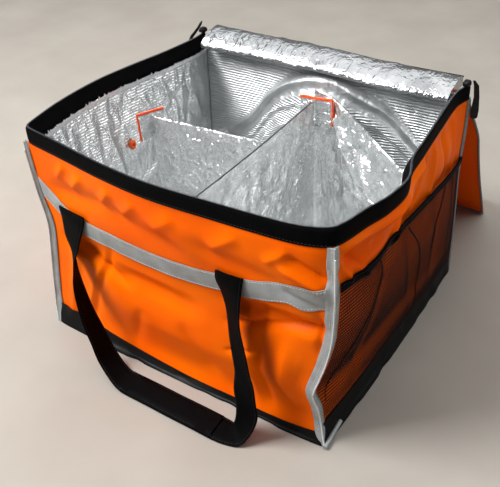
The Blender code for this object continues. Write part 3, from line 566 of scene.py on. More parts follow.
def makePanels():
    for side in sideNames:
        top = wallTop(side)
        margin = 0.0004 / sideLength(side)
        u, v = np.meshgrid(np.linspace(margin, 1 - margin, panels["columns"]),
                           np.linspace(panels["foot"], top, panels["rows"]))
        piece = gridPiece(side + "Panel", wall(side, u, v), wall(side, u, v, -bag["fabric"]), orangeCloth,
                          [side + "_panel"])


makePanels()
print("outer walls made")

# foil walls inside

lining = {"columns": 250, "rows": 150, "wrinkle": 0.0013, "size": 0.032,
          "behind": 0.0022, "thinnest": 0.0025,    # gap behind it, and what is left where the skin is pressed in
          "pull": 0.092, "pleat": 0.0042, "pleatStep": 0.034, "pleatFade": 0.07,    # the back one, by the divider
          "dividerAt": 0.0127}
tentLine = [(-0.26, 0.12), (-0.139, 0.206), (-0.096, 0.259), (-0.052, 0.293), (0.015, 0.313), (0.086, 0.291),
            (0.123, 0.273), (0.169, 0.229), (0.26, 0.14)]    # top of the pulled part of the back lining: x, z
backPullAlong = [(0.00, 0.00), (0.12, 0.06), (0.28, 0.34), (0.40, 0.78), (0.47, 1.00), (0.55, 0.80), (0.70, 0.34),
                 (0.86, 0.05), (1.00, 0.00)]
backPullUp = [(0.00, 0.30), (0.35, 0.70), (0.62, 1.00), (0.82, 1.00), (0.93, 0.55), (1.00, 0.10)]

liningFolds = {
    "left": strewnFolds(31, 15, 0.25, 8, 3.0) + strewnFolds(32, 9, 0.5, 5, 1.8),
    "front": strewnFolds(33, 10, 0.3, 9, 2.0),
    "right": strewnFolds(34, 15, 0.3, 7, 2.4),
    "back": [(0.98, 0.90, 0.80, 0.55, 10, 3.2, 0.6), (0.90, 0.93, 0.70, 0.62, 12, -3.0, 0.4),
             (0.84, 0.60, 0.99, 0.40, 8, 2.8, 0.7), (0.96, 0.70, 0.90, 0.35, 9, -3.4, 0.5),
             (0.72, 0.88, 0.62, 0.72, 9, 2.6, 0.5), (0.05, 0.80, 0.30, 0.86, 8, 2.4, 0.6),
             (0.02, 0.90, 0.24, 0.93, 6, -2.4, 0.6), (0.10, 0.68, 0.02, 0.55, 9, 2.4, 0.5)],
}


def liningFace(side, u, v):
    # inner face of a lining: the wall's shape, its wrinkles, and the pull of the divider
    base = wall(side, u, v, -innerFace, 0.25)
    length = sideLength(side)
    x, y = u * length, v * bag["height"]
    seed = 100 + 7 * sideNames.index(side)
    inward = -outwardOf(side, v)
    crush = crumple(x, y * 0.5, lining["size"], seed) + 0.45 * crumple(x, y * 0.8, lining["size"] * 0.36, seed + 30)
    edge = np.minimum(np.minimum(u, 1 - u) * length, 0.02) / 0.02
    damp = edge * (1 - easeStep(0.905, 0.93, v)) if side != "back" else edge * (1 - easeStep(0.93, 0.97, v))
    if side == "front":    # flat where the divider meets it
        damp = damp * easeStep(0.010, 0.024, np.abs(base[..., 0] - lining["dividerAt"]))
    push = damp * (lining["wrinkle"] * crush + lineFolds(liningFolds[side], x, y, length, bag["height"]))
    if side == "back":
        pull = lining["pull"] * bag["depth"] * softRead(backPullAlong, u) * softRead(backPullUp, v)
        under = softRead(tentLine, base[..., 0]) - base[..., 2]
        low = easeStep(-0.003, 0.009, under)
        wave = np.cos(2 * np.pi * (under - 0.007) / lining["pleatStep"])
        pleats = lining["pleat"] * wave * np.exp(-np.maximum(under, 0) / lining["pleatFade"]) * low
        push = push * (0.35 + 0.45 * low) + pull * (0.20 + 0.80 * low) + pleats * edge
    return base + inward * push[..., None]


def markRibs(piece, share):
    # how much the backing's ribs show through the film, by vertex
    layer = piece.data.attributes.new("ribs", "FLOAT", "POINT")
    layer.data.foreach_set("value", np.tile(share.ravel(), 2).astype(np.float32))


def makeLinings():
    for side in sideNames:
        top = wallTop(side)
        margin = 0.0006 / sideLength(side)
        u, v = np.meshgrid(np.linspace(margin, 1 - margin, lining["columns"]),
                           np.linspace((floorTop + 0.0005) / bag["height"], top, lining["rows"]))
        hidden, face = wall(side, u, v, -linerInset - lining["behind"]), liningFace(side, u, v)
        inward = -outwardOf(side, v)
        # where the skin is pressed in deep, the foil gives way with it
        short = np.clip(lining["thinnest"] - ((face - hidden) * inward).sum(-1), 0, None)
        face = face + inward * short[..., None]
        # the back lining takes the darker film: painted shade
        film = foilRibbedPaintedShade if side == "back" else foilWall
        piece = gridPiece(side + "FoilLining", hidden, face, film, [side + "_lining"])
        if side == "back":
            under = softRead(tentLine, face[..., 0]) - face[..., 2]
            markRibs(piece, 1 - easeStep(-0.003, 0.003, under) * (1 - easeStep(0.030, 0.036, under)))


def makeFloorPad():
    # foil-faced pad on the base board, cut to the walls' inside
    s, t = np.meshgrid(np.linspace(0, 1, 120), np.linspace(0, 1, 110))
    level = (floorTop - 0.001) / bag["height"]
    inset = innerFace + 0.001
    left, right = wall("left", 1 - t, level, -inset, 0), wall("right", t, level, -inset, 0)
    front, back = wall("front", s, level, -inset, 0), wall("back", 1 - s, level, -inset, 0)
    top = left * (1 - s[..., None]) + right * s[..., None]
    top[..., 1] = front[..., 1] * (1 - t) + back[..., 1] * t
    low = top.copy()
    low[..., 2] = bag["board"] + bag["layGap"]
    top[..., 2] = floorTop - 0.0012 + 0.0010 * crumple(s * 0.45, t * 0.4, 0.04, 77)
    piece = gridPiece("floorFoilPad", top, low, foilWall, ["floor_lining"])


makeLinings()
makeFloorPad()
print("linings made")

# rim binding, its inner facing and the zip

rim = {"columns": 160, "ends": 0.0005, "wobble": 0.0006, "coilInset": 0.0010, "coilRise": 0.0009,
       "seamDown": 0.0195, "seamLift": 0.00115}
tooth = {"Pitch": 0.0020, "Length": 0.0011, "Width": 0.0034, "Height": 0.0014}
fray = {"pitch": 0.0022, "ends": 0.012, "hem": 0.0040, "least": 0.0012, "most": 0.0045, "inset": 0.0112,
        "curl": 0.0012, "thick": 0.0004}
# outline of the binding: out from the wall's face and down from the rim, in mm
rimOutline = [(1.0, 22.0), (1.3, 14.0), (1.3, 5.0), (1.0, 2.0), (0.2, 0.5), (-0.9, 0.0), (-2.0, 0.4), (-2.9, 2.0),
              (-4.6, 6.5), (-8.6, 14.0), (-10.6, 18.0), (-11.0, 23.0), (-9.7, 23.2), (-9.3, 22.4), (-7.6, 22.0),
              (0.0, 22.0)]


def rimRing(side, u):
    # the outline at each place along a side
    ring = []
    for out, down in rimOutline:
        level = 1 - down / 1000 / bag["height"]
        ring.append(wall(side, u, min(level, 1.0), out / 1000, 0))
    return np.stack(ring, -2)


def roundTurn(rows, spots, reach=9):
    # eases a line of points or rings round its sharp turns
    rows = rows.copy()
    for _ in range(14):
        soft = (rows[:-2] + 2 * rows[1:-1] + rows[2:]) / 4
        for spot in spots:
            rows[spot - reach:spot + reach + 1] = soft[spot - reach - 1:spot + reach]
    return rows


def makeRim():
    rings, coil, spots = [], [], []
    for side in ("left", "front", "right"):
        length = sideLength(side)
        first = rim["ends"] / length if side == "left" else 0.0
        last = 1 - rim["ends"] / length if side == "right" else 1.0
        u = np.linspace(first, last, rim["columns"])
        part = rimRing(side, u)
        wave = rim["wobble"] * latticeNoise(u * 14, u * 0, 5)
        part[:, 8:13] += (outwardOf(side, np.ones_like(u)) * (wave * np.sin(np.pi * u))[:, None])[:, None]
        line = wall(side, u, 1.0, -rim["coilInset"], 0)
        line[:, 2] += rim["coilRise"]
        if rings:
            spots.append(len(np.concatenate(rings)) - 1)
        rings.append(part if not rings else part[1:])
        coil.append(line if not coil else line[1:])
        seams["dark"].append(wall(side, u, 1 - rim["seamDown"] / bag["height"], rim["seamLift"], 0))
        makeFray(side)
    sweepPiece("rimBinding", roundTurn(np.concatenate(rings), spots), rimTape,
               ["rim_band_left", "rim_band_front", "rim_band_right"], 40)
    return roundTurn(np.concatenate(coil), spots)


def makeFray(side):
    # the film's cut edge, frayed into small teeth over the facing's foot
    count = int(sideLength(side) / fray["pitch"])
    random = np.random.default_rng(300 + sideNames.index(side))
    reach = fray["least"] + fray["most"] * random.random(count) ** 2 * (np.arange(count) % 2)
    rows = np.array([0.0, 0.5, 1.0])[:, None]
    v = facingFoot + (rows * (fray["hem"] + reach[None, :]) - fray["hem"]) / bag["height"]
    u = np.broadcast_to(np.linspace(fray["ends"], 1 - fray["ends"], count), v.shape)
    lift = -fray["inset"] - fray["curl"] * rows * random.random(count)[None, :]
    outer, inner = wall(side, u, v, lift, 0), wall(side, u, v, lift - fray["thick"], 0)
    gridPiece(side + "FrayedFoil", outer, inner, trim["foilFray"])


# geometry nodes: what repeats along a path

def startTree(name, meshLabel, sizes):
    # a group whose inputs are a mesh, named sizes and a material
    tree = bpy.data.node_groups.new(name, "GeometryNodeTree")
    face = tree.interface
    face.new_socket(meshLabel, in_out="INPUT", socket_type="NodeSocketGeometry")
    for label, value in sizes.items():
        face.new_socket(label, in_out="INPUT", socket_type="NodeSocketFloat").default_value = value
    face.new_socket("Material", in_out="INPUT", socket_type="NodeSocketMaterial")
    face.new_socket("Mesh", in_out="OUTPUT", socket_type="NodeSocketGeometry")
    return tree, addNode(tree, "NodeGroupInput").outputs


def endTree(tree, start, shape):
    # real meshes, in the material, to the group's output
    real = addNode(tree, "GeometryNodeRealizeInstances", {"Geometry": shape})
    coated = addNode(tree, "GeometryNodeSetMaterial", {"Geometry": real.outputs["Geometry"],
                                                       "Material": start["Material"]})
    end = addNode(tree, "NodeGroupOutput")
    tree.links.new(coated.outputs["Geometry"], end.inputs["Mesh"])
    return tree


def pathTree():
    # a small part set at even steps along edges: named sizes are its inputs
    tree, start = startTree("stitchesAlongPath", "Path", {"Pitch": 0.004, "Length": 0.003, "Width": 0.0006,
                                                          "Height": 0.0005})
    curve = addNode(tree, "GeometryNodeMeshToCurve", {"Mesh": start["Path"]})
    steps = addNode(tree, "GeometryNodeResampleCurve", {"Curve": curve.outputs["Curve"], "Length": start["Pitch"]},
                    mode="LENGTH")
    grain = addNode(tree, "GeometryNodeMeshUVSphere", {"Segments": 6, "Rings": 4, "Radius": 0.5})
    size = addNode(tree, "ShaderNodeCombineXYZ", {"X": start["Length"], "Y": start["Width"], "Z": start["Height"]})
    shaped = addNode(tree, "GeometryNodeTransform", {"Geometry": grain.outputs["Mesh"],
                                                     "Scale": size.outputs["Vector"]})
    tangent = addNode(tree, "GeometryNodeInputTangent")
    turn = addNode(tree, "FunctionNodeAlignRotationToVector", {"Vector": tangent.outputs["Tangent"]}, axis="X")
    placed = addNode(tree, "GeometryNodeInstanceOnPoints", {
        "Points": steps.outputs["Curve"], "Instance": shaped.outputs["Geometry"],
        "Rotation": turn.outputs["Rotation"]})
    return endTree(tree, start, placed.outputs["Instances"])


def socketName(tree, label):
    return next(item.identifier for item in tree.interface.items_tree
                if item.name == label and getattr(item, "in_out", "") == "INPUT")


def keepResult(piece):
    # what the modifiers make becomes the piece's plain mesh
    graph = bpy.context.evaluated_depsgraph_get()
    mesh = bpy.data.meshes.new_from_object(piece.evaluated_get(graph))
    piece.modifiers.clear()
    piece.data = mesh


def growOn(piece, tree, values):
    # runs a node tree on a piece
    modifier = piece.modifiers.new("grow", "NODES")
    modifier.node_group = tree
    for label, value in values.items():
        modifier[socketName(tree, label)] = value
    keepResult(piece)


alongPath = pathTree()


def makeRunOf(name, runs, values, replaced=()):
    # the small part along each run of points, as one piece
    points, edges = [], []
    for run in runs:
        first = len(points)
        points += np.asarray(run).tolist()
        edges += [(first + i, first + i + 1) for i in range(len(run) - 1)]
    mesh = bpy.data.meshes.new(name)
    mesh.from_pydata(points, edges, [])
    piece = addObject(name, mesh)
    growOn(piece, alongPath, values)
    piece.data.shade_smooth()
    setInFrame(piece, replaced)


makeRunOf("zipCoil", [makeRim()], {**tooth, "Material": trim["coilNylon"]}, ["zip_chain"])
print("rim made")

# corner bindings, reflective band and base bands

binding = {"rows": 120, "foot": 0.003, "overlap": 0.0012, "lift": 0.0012, "thick": 0.0013, "ridge": 0.0030,
           "piping": 0.0030, "pipingRise": 0.0022, "wobble": 0.0007, "seamAt": 0.42, "threadLift": 0.0002}
# name, CAD node, and how a flat one narrows: share lost at its foot, share more, between which heights
corners = (
    ("frontLeft", "front_left_binding", (0.25, 0.50, 0.50, 0.75)),    # nearly lost in its seam towards the rim
    ("frontRight", "front_right_binding", (0.00, 0.30, 0.55, 0.92)),
    ("backRight", "back_right_binding", None),
    ("backLeft", "back_left_binding", None),
)


def makeBindings():
    lift, thick = binding["lift"], binding["thick"]
    for number, (name, node, narrowing) in enumerate(corners):
        before, after = sideNames[number - 1], sideNames[number]
        flat = narrowing is not None
        width = bag["bindingWidth"] if flat else binding["piping"]
        v = np.linspace(binding["foot"], panelTop + (binding["overlap"] / bag["height"] if flat else 0.0),
                        binding["rows"])
        slim = 1.0
        if flat:
            least, more, low, high = narrowing
            slim = 1 - (least + more * easeStep(low, high, v))
        y = v * bag["height"]
        wobble = binding["wobble"] * latticeNoise(y / 0.016, y * 0, 40 + number)
        tall = (binding["ridge"] if flat else binding["pipingRise"]) / thick
        # its section: place across, rise in thicknesses
        section = [(-1.0, 0.0), (-1.0, 0.7), (-0.62, 1.0), (-0.30, 1.1), (-0.16, tall * 0.8), (0.0, tall),
                   (0.16, tall * 0.8), (0.30, 1.1), (0.62, 1.0), (1.0, 0.7), (1.0, 0.0), (0.5, 0.0), (0.0, 0.0),
                   (-0.5, 0.0)]
        rings = []
        for place, up in section:
            out = lift + thick * up + (wobble if flat and up > 0 else 0.0)
            reach = place * (width * slim + (wobble * 0.8 if flat else 0.0))
            side, start = (before, 1) if place < 0 else (after, 0)
            rings.append(wall(side, start + reach / sideLength(side), v, out))
        sweepPiece(name + "Binding", np.stack(rings, 1), reflective if flat else trim["greyPiping"],
                   [node], 60)
        if flat:
            # pale cord along the ridge: its colour is a painted highlight on the binding's edge
            ridge = wall(after, 0.0, np.linspace(0.012, 0.90, 120), lift + binding["ridge"] + binding["threadLift"])
            makePiping(name + "Ridge", ridge, 0.0011, trim["ridgePaintedHighlight"], 6)
            for side, start, sign in ((before, 1.0, -1), (after, 0.0, 1)):
                u = start + sign * width * slim * binding["seamAt"] / sideLength(side)
                seamOnWall("pale", side, u, v, lift + thick + binding["threadLift"])


def makeBindingTail():
    # the right binding's end, tucked back along the foot of the right wall
    u = np.linspace(0.0, 0.105, 60)
    tail = wall("right", u, 0.010 + 0.08 * u, 0.0068 - 0.02 * u, 0)
    makePiping("frontRightBindingTail", tail, 0.0032, reflective, 12)


band = {"width": 0.030, "lift": 0.0011, "swell": 0.0004, "thick": 0.0006, "seamAt": 0.86, "seamLift": 0.0020}
bandLine = [(0.00, 0.745), (0.12, 0.628), (0.30, 0.606), (0.55, 0.616), (0.78, 0.664), (0.90, 0.708), (1.00, 0.730)]
bandLow = [(0.00, 0.0), (0.80, 0.0), (0.88, 0.004), (0.925, -0.020), (0.965, -0.012), (1.00, -0.004)]


def bandLevel(u, part):
    # height share at a place along it and across it, from -1 to 1
    half = band["width"] / 2 / bag["height"]
    return softRead(bandLine, u) + part * half + softRead(bandLow, u) * (1 - part) / 2


def makeReflectiveBand():
    margin = (bag["bindingWidth"] * 0.6) / sideLength("front")
    u, part = np.meshgrid(np.linspace(margin, 1 - margin, 220), np.linspace(-1, 1, 16))
    lift = band["lift"] + band["swell"] * (1 - part ** 2)
    wallPatch("reflectiveBand", "front", u, bandLevel(u, part), lift, band["thick"], reflective,
              ["reflective_band"])
    line = np.linspace(margin * 1.5, 1 - margin * 1.5, 200)
    for part in (-band["seamAt"], band["seamAt"]):
        seamOnWall("pale", "front", line, bandLevel(line, part), band["seamLift"])


baseBand = {"margin": 0.0035, "foot": 0.0004, "lift": 0.0011, "flare": 0.0042, "pucker": 0.0016, "hem": 0.0012,
            "least": 0.0009, "thick": 0.0014}
baseTops = {
    "front": [(0.00, 0.031), (0.10, 0.028), (0.26, 0.017), (0.50, 0.009), (0.60, 0.008), (0.70, 0.009), (0.78, 0.008),
              (0.90, 0.010), (1.00, 0.016)],
    "right": [(0.00, 0.026), (0.30, 0.024), (0.60, 0.026), (1.00, 0.026)],
    "back": [(0.00, 0.024), (0.50, 0.024), (1.00, 0.024)],
    "left": [(0.00, 0.024), (0.50, 0.026), (1.00, 0.030)],
}


def makeBaseBands():
    for side in sideNames:
        length = sideLength(side)
        margin = baseBand["margin"] / length
        u, part = np.meshgrid(np.linspace(margin, 1 - margin, 180), np.linspace(0, 1, 22))
        v = (baseBand["foot"] + (softRead(baseTops[side], u) - baseBand["foot"]) * part) / bag["height"]
        pucker = baseBand["pucker"] * latticeNoise(u * length / 0.020, part * 1.5, 61) * (1 - part) ** 0.7
        hem = baseBand["hem"] * easeStep(0.30, 0.22, part)
        out = baseBand["lift"] + (baseBand["flare"] * (1 - part) ** 1.6 + pucker + hem) * np.sin(np.pi * u) ** 0.4
        wallPatch(side + "BaseBand", side, u, v, np.maximum(out, baseBand["least"]), baseBand["thick"], baseCloth,
                  [side + "_base_band"])


makeBindings()
makeBindingTail()
makeReflectiveBand()
makeBaseBands()
print("bands made")

# side pocket of net

pocket = {"slack": 0.014, "columns": 100, "rows": 42, "thread": 0.0005, "length": 0.42, "height": 0.20,
          "foot": 0.0245, "lift": 0.0011, "frontEnd": 0.0112, "backEnd": 0.0045, "hole": 0.90, "flatten": 0.76,
          "bindingWidth": 0.0115, "bindingGap": 0.0005, "bindingThick": 0.0022, "pleatHalf": 0.0021}
pocketMouth = [(0.00, 0.745), (0.25, 0.720), (0.50, 0.690), (0.75, 0.655), (1.00, 0.620)]
pocketSwell = [(0.00, 0.00), (0.07, 0.45), (0.15, 0.80), (0.25, 0.96), (0.50, 1.00), (0.75, 0.96), (0.85, 0.82),
               (0.93, 0.45), (1.00, 0.00)]
pocketUp = [(0.00, 0.20), (0.25, 0.88), (0.50, 1.00), (0.80, 0.92), (1.00, 0.60)]
# folds in the net: start (along, part of its height), end, reach and depth in mm, sharpness
netFolds = [
    (0.30, 1.00, 0.20, 0.05, 9, -2.4, 0.2), (0.44, 1.00, 0.60, 0.10, 9, -2.6, 0.2),
    (0.70, 0.98, 0.74, 0.15, 9, -2.0, 0.2), (0.88, 0.95, 0.90, 0.10, 9, -1.6, 0.2),
]
# solid strips of net along its pleats, which read as dark lines: doubled net, and painted shade of the folds: (along,
# part of its height)
pleats = (
    ((0.245, 1.0), (0.262, 0.88), (0.215, 0.66), (0.12, 0.42), (0.05, 0.16)),
    ((0.47, 0.98), (0.56, 0.72), (0.60, 0.42), (0.625, 0.08)),
    ((0.78, 0.99), (0.72, 0.80), (0.68, 0.55)),
)


def netOut(u, v, part):
    # the net's stand-out from the wall, never less than its lift
    long, tall = pocket["length"], pocket["height"]
    swell = pocket["slack"] * softRead(pocketSwell, u) * softRead(pocketUp, part)
    swell = swell + lineFolds(netFolds, u * long, part * tall, long, tall) * softRead(pocketSwell, u)
    gap = swell - bowOf("right", u, v) - creaseOf("right", u, v)
    return pocket["lift"] + 0.5 * (gap + np.sqrt(gap * gap + 4e-6))


def netPoint(u, part, lift):
    foot = pocket["foot"] / bag["height"]
    v = foot + (softRead(pocketMouth, u) - foot) * part
    return wall("right", u, v, netOut(u, v, part) + lift)


def netTree():
    # each cell of the sheet opened to a hole, so that its threads are left
    tree, start = startTree("netHoles", "Sheet", {"Hole": 0.8, "Flatten": 0.7})
    cells = addNode(tree, "GeometryNodeExtrudeMesh", {"Mesh": start["Sheet"], "Offset Scale": 0.0, "Individual": True},
                    mode="FACES")
    inside = cells.outputs["Top"]
    shrunk = addNode(tree, "GeometryNodeScaleElements", {"Geometry": cells.outputs["Mesh"], "Selection": inside,
                                                         "Scale": start["Hole"]})
    flattened = addNode(tree, "GeometryNodeScaleElements", {
        "Geometry": shrunk.outputs["Geometry"], "Selection": inside, "Scale": start["Flatten"],
        "Axis": (0.0, 0.0, 1.0)}, scale_mode="SINGLE_AXIS")
    opened = addNode(tree, "GeometryNodeDeleteGeometry", {"Geometry": flattened.outputs["Geometry"],
                                                          "Selection": inside}, domain="FACE")
    return endTree(tree, start, opened.outputs["Geometry"])


def makeNet(low, high):
    u, part = np.meshgrid(np.linspace(low, high, pocket["columns"] + 1), np.linspace(0, 1, pocket["rows"] + 1))
    points = netPoint(u, part, pocket["thread"])
    index = np.arange(u.size).reshape(u.shape)
    mesh = bpy.data.meshes.new("pocketNet")
    mesh.from_pydata(points.reshape(-1, 3).tolist(), [], quadsOf(index).tolist())
    net = addObject("pocketNet", mesh)
    growOn(net, netTree(), {"Hole": pocket["hole"], "Flatten": pocket["flatten"], "Material": trim["netThread"]})
    shell = bmesh.new()
    shell.from_mesh(net.data)
    bmesh.ops.remove_doubles(shell, verts=shell.verts, dist=1e-6)
    shell.to_mesh(net.data)
    shell.free()
    thick = net.modifiers.new("thread", "SOLIDIFY")
    thick.thickness, thick.offset = pocket["thread"], -1.0
    keepResult(net)
    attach(net, "root")
    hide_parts("side_pocket_mesh")


def makePocket():
    length = sideLength("right")
    low, high = pocket["frontEnd"] / length, 1 - pocket["backEnd"] / length
    makeNet(low, high)
    u, part = np.meshgrid(np.linspace(low, high, 200), np.linspace(0, 1, 9))
    v = softRead(pocketMouth, u) + (pocket["bindingGap"] + part * pocket["bindingWidth"]) / bag["height"]
    out = netOut(u, v, 1.0) + 0.0008 * np.sin(np.pi * part)
    wallPatch("pocketBinding", "right", u, v, out, pocket["bindingThick"], rimTape,
              ["side_pocket_binding"])
    line = u[0]
    for share in (0.12, 0.88):
        level = softRead(pocketMouth, line) + (pocket["bindingGap"] + share * pocket["bindingWidth"]) / bag["height"]
        seamOnWall("dark", "right", line, level, netOut(line, level, 1.0) + pocket["bindingThick"] + 0.0004)
    # solid net strips along the pleats: doubled net, and painted shade of the folds
    for number, rows in enumerate(pleats):
        t = np.linspace(0, 1, 60)
        route = [(k, *row) for k, row in zip(np.linspace(0, 1, len(rows)), rows)]
        across = np.array([-1.0, -0.4, 0.4, 1.0])
        u = softRead(route, t, 1)[:, None] + across * pocket["pleatHalf"] / length * (1 - 0.6 * t[:, None])
        part = np.broadcast_to(softRead(route, t, 2)[:, None], u.shape)
        lift = np.broadcast_to(0.0012 + 0.0010 * (1 - across ** 2), u.shape)
        gridPiece("pocketPleatShadeStrip%d" % (number + 1), netPoint(u, part, lift + 0.0004), netPoint(u, part, lift),
                  trim["netThread"])


makePocket()
print("pocket made")

# lid, its lining, skirts and zip tape, and the fold that joins it to the back wall

lid = {"back": bag["depth"] * 0.523, "skirt": 0.040, "tape": 0.010, "wider": 0.080, "lean": 0.14, "thick": 0.0064,
       "hingeRise": 0.03, "sag": 0.0016, "crush": 0.0016, "foilFrom": 0.0022, "foilTo": 0.0088, "piping": 0.0019}
# along, back from the hinge in depths, height share, width share
lidProfile = [(0.00, 0.006, 0.955, 0.970), (0.12, 0.026, 0.850, 0.965), (0.34, 0.115, 0.630, 0.945),
              (0.60, 0.240, 0.370, 0.925), (0.82, 0.345, 0.160, 0.915), (1.00, 0.426, 0.0060, 0.905)]


def lidPoint(across, along, lift):
    # across from -1 to 1, along from the hinge, lift off the outer face towards the foil
    across, along, lift = np.broadcast_arrays(np.asarray(across, float), np.asarray(along, float),
                                              np.asarray(lift, float))
    here = np.minimum(along, 0.99)
    slopeY = (softRead(lidProfile, here + 0.01, 1) - softRead(lidProfile, here, 1)) * bag["depth"]
    slopeZ = (softRead(lidProfile, here + 0.01, 2) - softRead(lidProfile, here, 2)) * bag["height"]
    run = np.hypot(slopeY, slopeZ)
    half = softRead(lidProfile, along, 3) * bag["width"] / 2 * (1 + lid["wider"] * easeStep(0, 0.3, along))
    x = across * half
    y = lid["back"] + softRead(lidProfile, along, 1) * bag["depth"] - slopeZ / run * lift
    z = softRead(lidProfile, along, 2) * bag["height"] + slopeY / run * lift
    return np.stack([x, y, z], -1)


def skirtRise(along):
    # share of the skirts' height: next to none at the hinge, all of it from a fifth of the lid on
    return lid["hingeRise"] + (1 - lid["hingeRise"]) * easeStep(0.02, 0.20, along)


def skirtParts(ending):
    # the skirt and the zip tape on its edge: name, low and high edge, cloth, slot, node
    top = lid["skirt"] - lid["tape"]
    return (("lidSkirt" + ending, 0.0, top, orangeCloth, "orange_coated_fabric", "lid_skirt_" + ending.lower()),
            ("lidZipTape" + ending, top + 0.0003, lid["skirt"], rimTape, "black_webbing", "lid_zip_" + ending.lower()))


def makeLid():
    a, t = np.meshgrid(np.linspace(-0.995, 0.995, 130), np.linspace(0, 1, 120))
    ease = np.sin(np.pi * np.clip(t, 0, 1)) ** 0.5 * (1 - a ** 4)
    sag = lid["sag"] * latticeNoise(a * 3, t * 4, 71) * ease
    outer = gridPiece("lidPanel", lidPoint(a, t, sag), lidPoint(a, t, sag + bag["fabric"]), orangeCloth,
                      ["lid_panel"])
    t = 0.04 + 0.945 * t
    crush = lid["crush"] * crumple(a * 0.22, t * 0.36, 0.034, 81) * (1 - a ** 6)
    pad = gridPiece("lidFoilLining", lidPoint(a * 0.992, t, lid["foilFrom"]),
                    lidPoint(a * 0.992, t, lid["foilTo"] + crush), foilWall, ["lid_lining"])
    for ending, sign in (("Left", -1), ("Right", 1)):
        t, lift = np.meshgrid(np.linspace(0, 1, 110), np.linspace(0, 1, 24))
        wave = 0.006 * latticeNoise(t * 7, lift * 0.8, 90 + sign) * lift
        for name, low, high, skin, slotName, node in skirtParts(ending):
            share = low + (high - low) * lift
            bend = 1 + (wave - lid["lean"]) * share / lid["skirt"]
            share = share * skirtRise(t)
            gridPiece(name, lidPoint(sign * bend, t, share), lidPoint(sign * (bend - lid["thick"]), t, share), skin,
                      [node])
        edge = np.linspace(0.02, 1, 110)
        makePiping("lidPiping" + ending, lidPoint(sign * 1.003, edge, -0.0006), lid["piping"], trim["greyPiping"])
        coil = lidPoint(sign * (1 - lid["lean"]), edge, (lid["skirt"] + 0.0006) * skirtRise(edge))
        makeRunOf("lidZipCoil" + ending, [coil], {**tooth, "Width": 0.0030, "Height": 0.0016,
                                                  "Material": trim["coilNylon"]})
    endLine = lidPoint(np.linspace(-0.99, 0.99, 110), 1.0, -0.0004)
    endLine[:, 2] = np.maximum(endLine[:, 2], 0.0020)
    makePiping("lidPipingEnd", endLine, lid["piping"], trim["greyPiping"])
    a, lift = np.meshgrid(np.linspace(-0.992, 0.992, 110), np.linspace(0, 1, 20))
    for name, low, high, skin, slotName, node in skirtParts("End"):
        share = low + (high - low) * lift
        narrow = a * (1 - lid["lean"] * share / lid["skirt"])
        base = lidPoint(narrow, 1.0, share)
        way = unit(base - lidPoint(narrow, 0.99, share))
        gridPiece(name, base + way * 0.0018, base + way * 0.0003, skin, [node])


hinge = {"width": 0.058, "thick": 0.0140, "inset": 0.0120, "shift": 0.006, "rise": 0.004, "riseRight": 0.006,
         "crush": 0.0015, "tape": 0.0012, "tapeShift": 0.0066}
# outline of the fold: share of its width, share of its height
hingeShape = [(0.0, 0.20), (0.08, 0.42), (0.20, 0.64), (0.35, 0.80), (0.50, 0.92), (0.66, 0.98), (0.80, 1.00),
              (0.90, 0.93), (0.97, 0.75), (1.0, 0.45), (1.0, 0.02), (0.5, 0.02), (0.0, 0.02)]


def makeHingeFold():
    u = np.linspace(0.008, 0.992, 240)
    middle = wall("back", u, 1.0, -(hinge["inset"] + linerInset), 0)
    base = bag["height"] - hinge["thick"] + bag["layGap"]
    rings = []
    for across, rise in hingeShape:
        crush = crumple(u * 0.07, across * hinge["width"] + u * 0, 0.011, 141) if rise > 0.1 else 0.0
        point = middle.copy()
        point[:, 1] += (across - 0.5) * hinge["width"] + hinge["shift"]
        point[:, 2] = base + rise * (hinge["thick"] + hinge["rise"] + hinge["riseRight"] * u) + hinge["crush"] * crush
        rings.append(point)
    piece = sweepPiece("hingeFoilFold", np.stack(rings, 1), foilFoldPaintedShade, ["hinge_fold"], 60)
    edge = middle.copy()
    edge[:, 1] += hinge["width"] / 2 + hinge["tapeShift"]
    edge[:, 2] = base + hinge["thick"]
    makePiping("hingeEdgeTape", edge, hinge["tape"], rimTape)


makeLid()
makeHingeFold()
print("lid made")

# dividers, their flaps and the button

divider = {"thick": 0.0060, "top": floorTop + 0.273, "x": 0.027 * bag["width"], "back": 0.365 * bag["depth"],
           "crossAt": 0.020 * bag["depth"], "crossEnd": (-0.405 * bag["width"], 0.022 * bag["depth"]),
           "turnedStart": (0.0078, 0.1655), "turnedEnd": (0.452 * bag["width"], 0.160 * bag["depth"]),
           "turnedTop": floorTop + 0.285, "dent": 0.0022, "fineDent": 0.0016, "flapGap": 0.0013}
turnedFolds = [(0.02, 1.0, 0.50, 0.62, 9, 4.2, 0.6), (0.05, 0.98, 0.75, 0.72, 10, -4.0, 0.5),
               (0.04, 0.96, 0.30, 0.45, 8, -3.8, 0.6), (0.06, 0.90, 0.12, 0.40, 8, 3.4, 0.7),
               (0.55, 0.70, 0.85, 0.50, 8, 4.4, 0.7), (0.60, 0.62, 0.50, 0.35, 8, -3.8, 0.6),
               (0.30, 0.62, 0.62, 0.50, 7, 3.6, 0.8), (0.40, 0.80, 0.95, 0.72, 7, -3.6, 0.7),
               (0.20, 0.72, 0.45, 0.80, 7, 3.0, 0.7)]


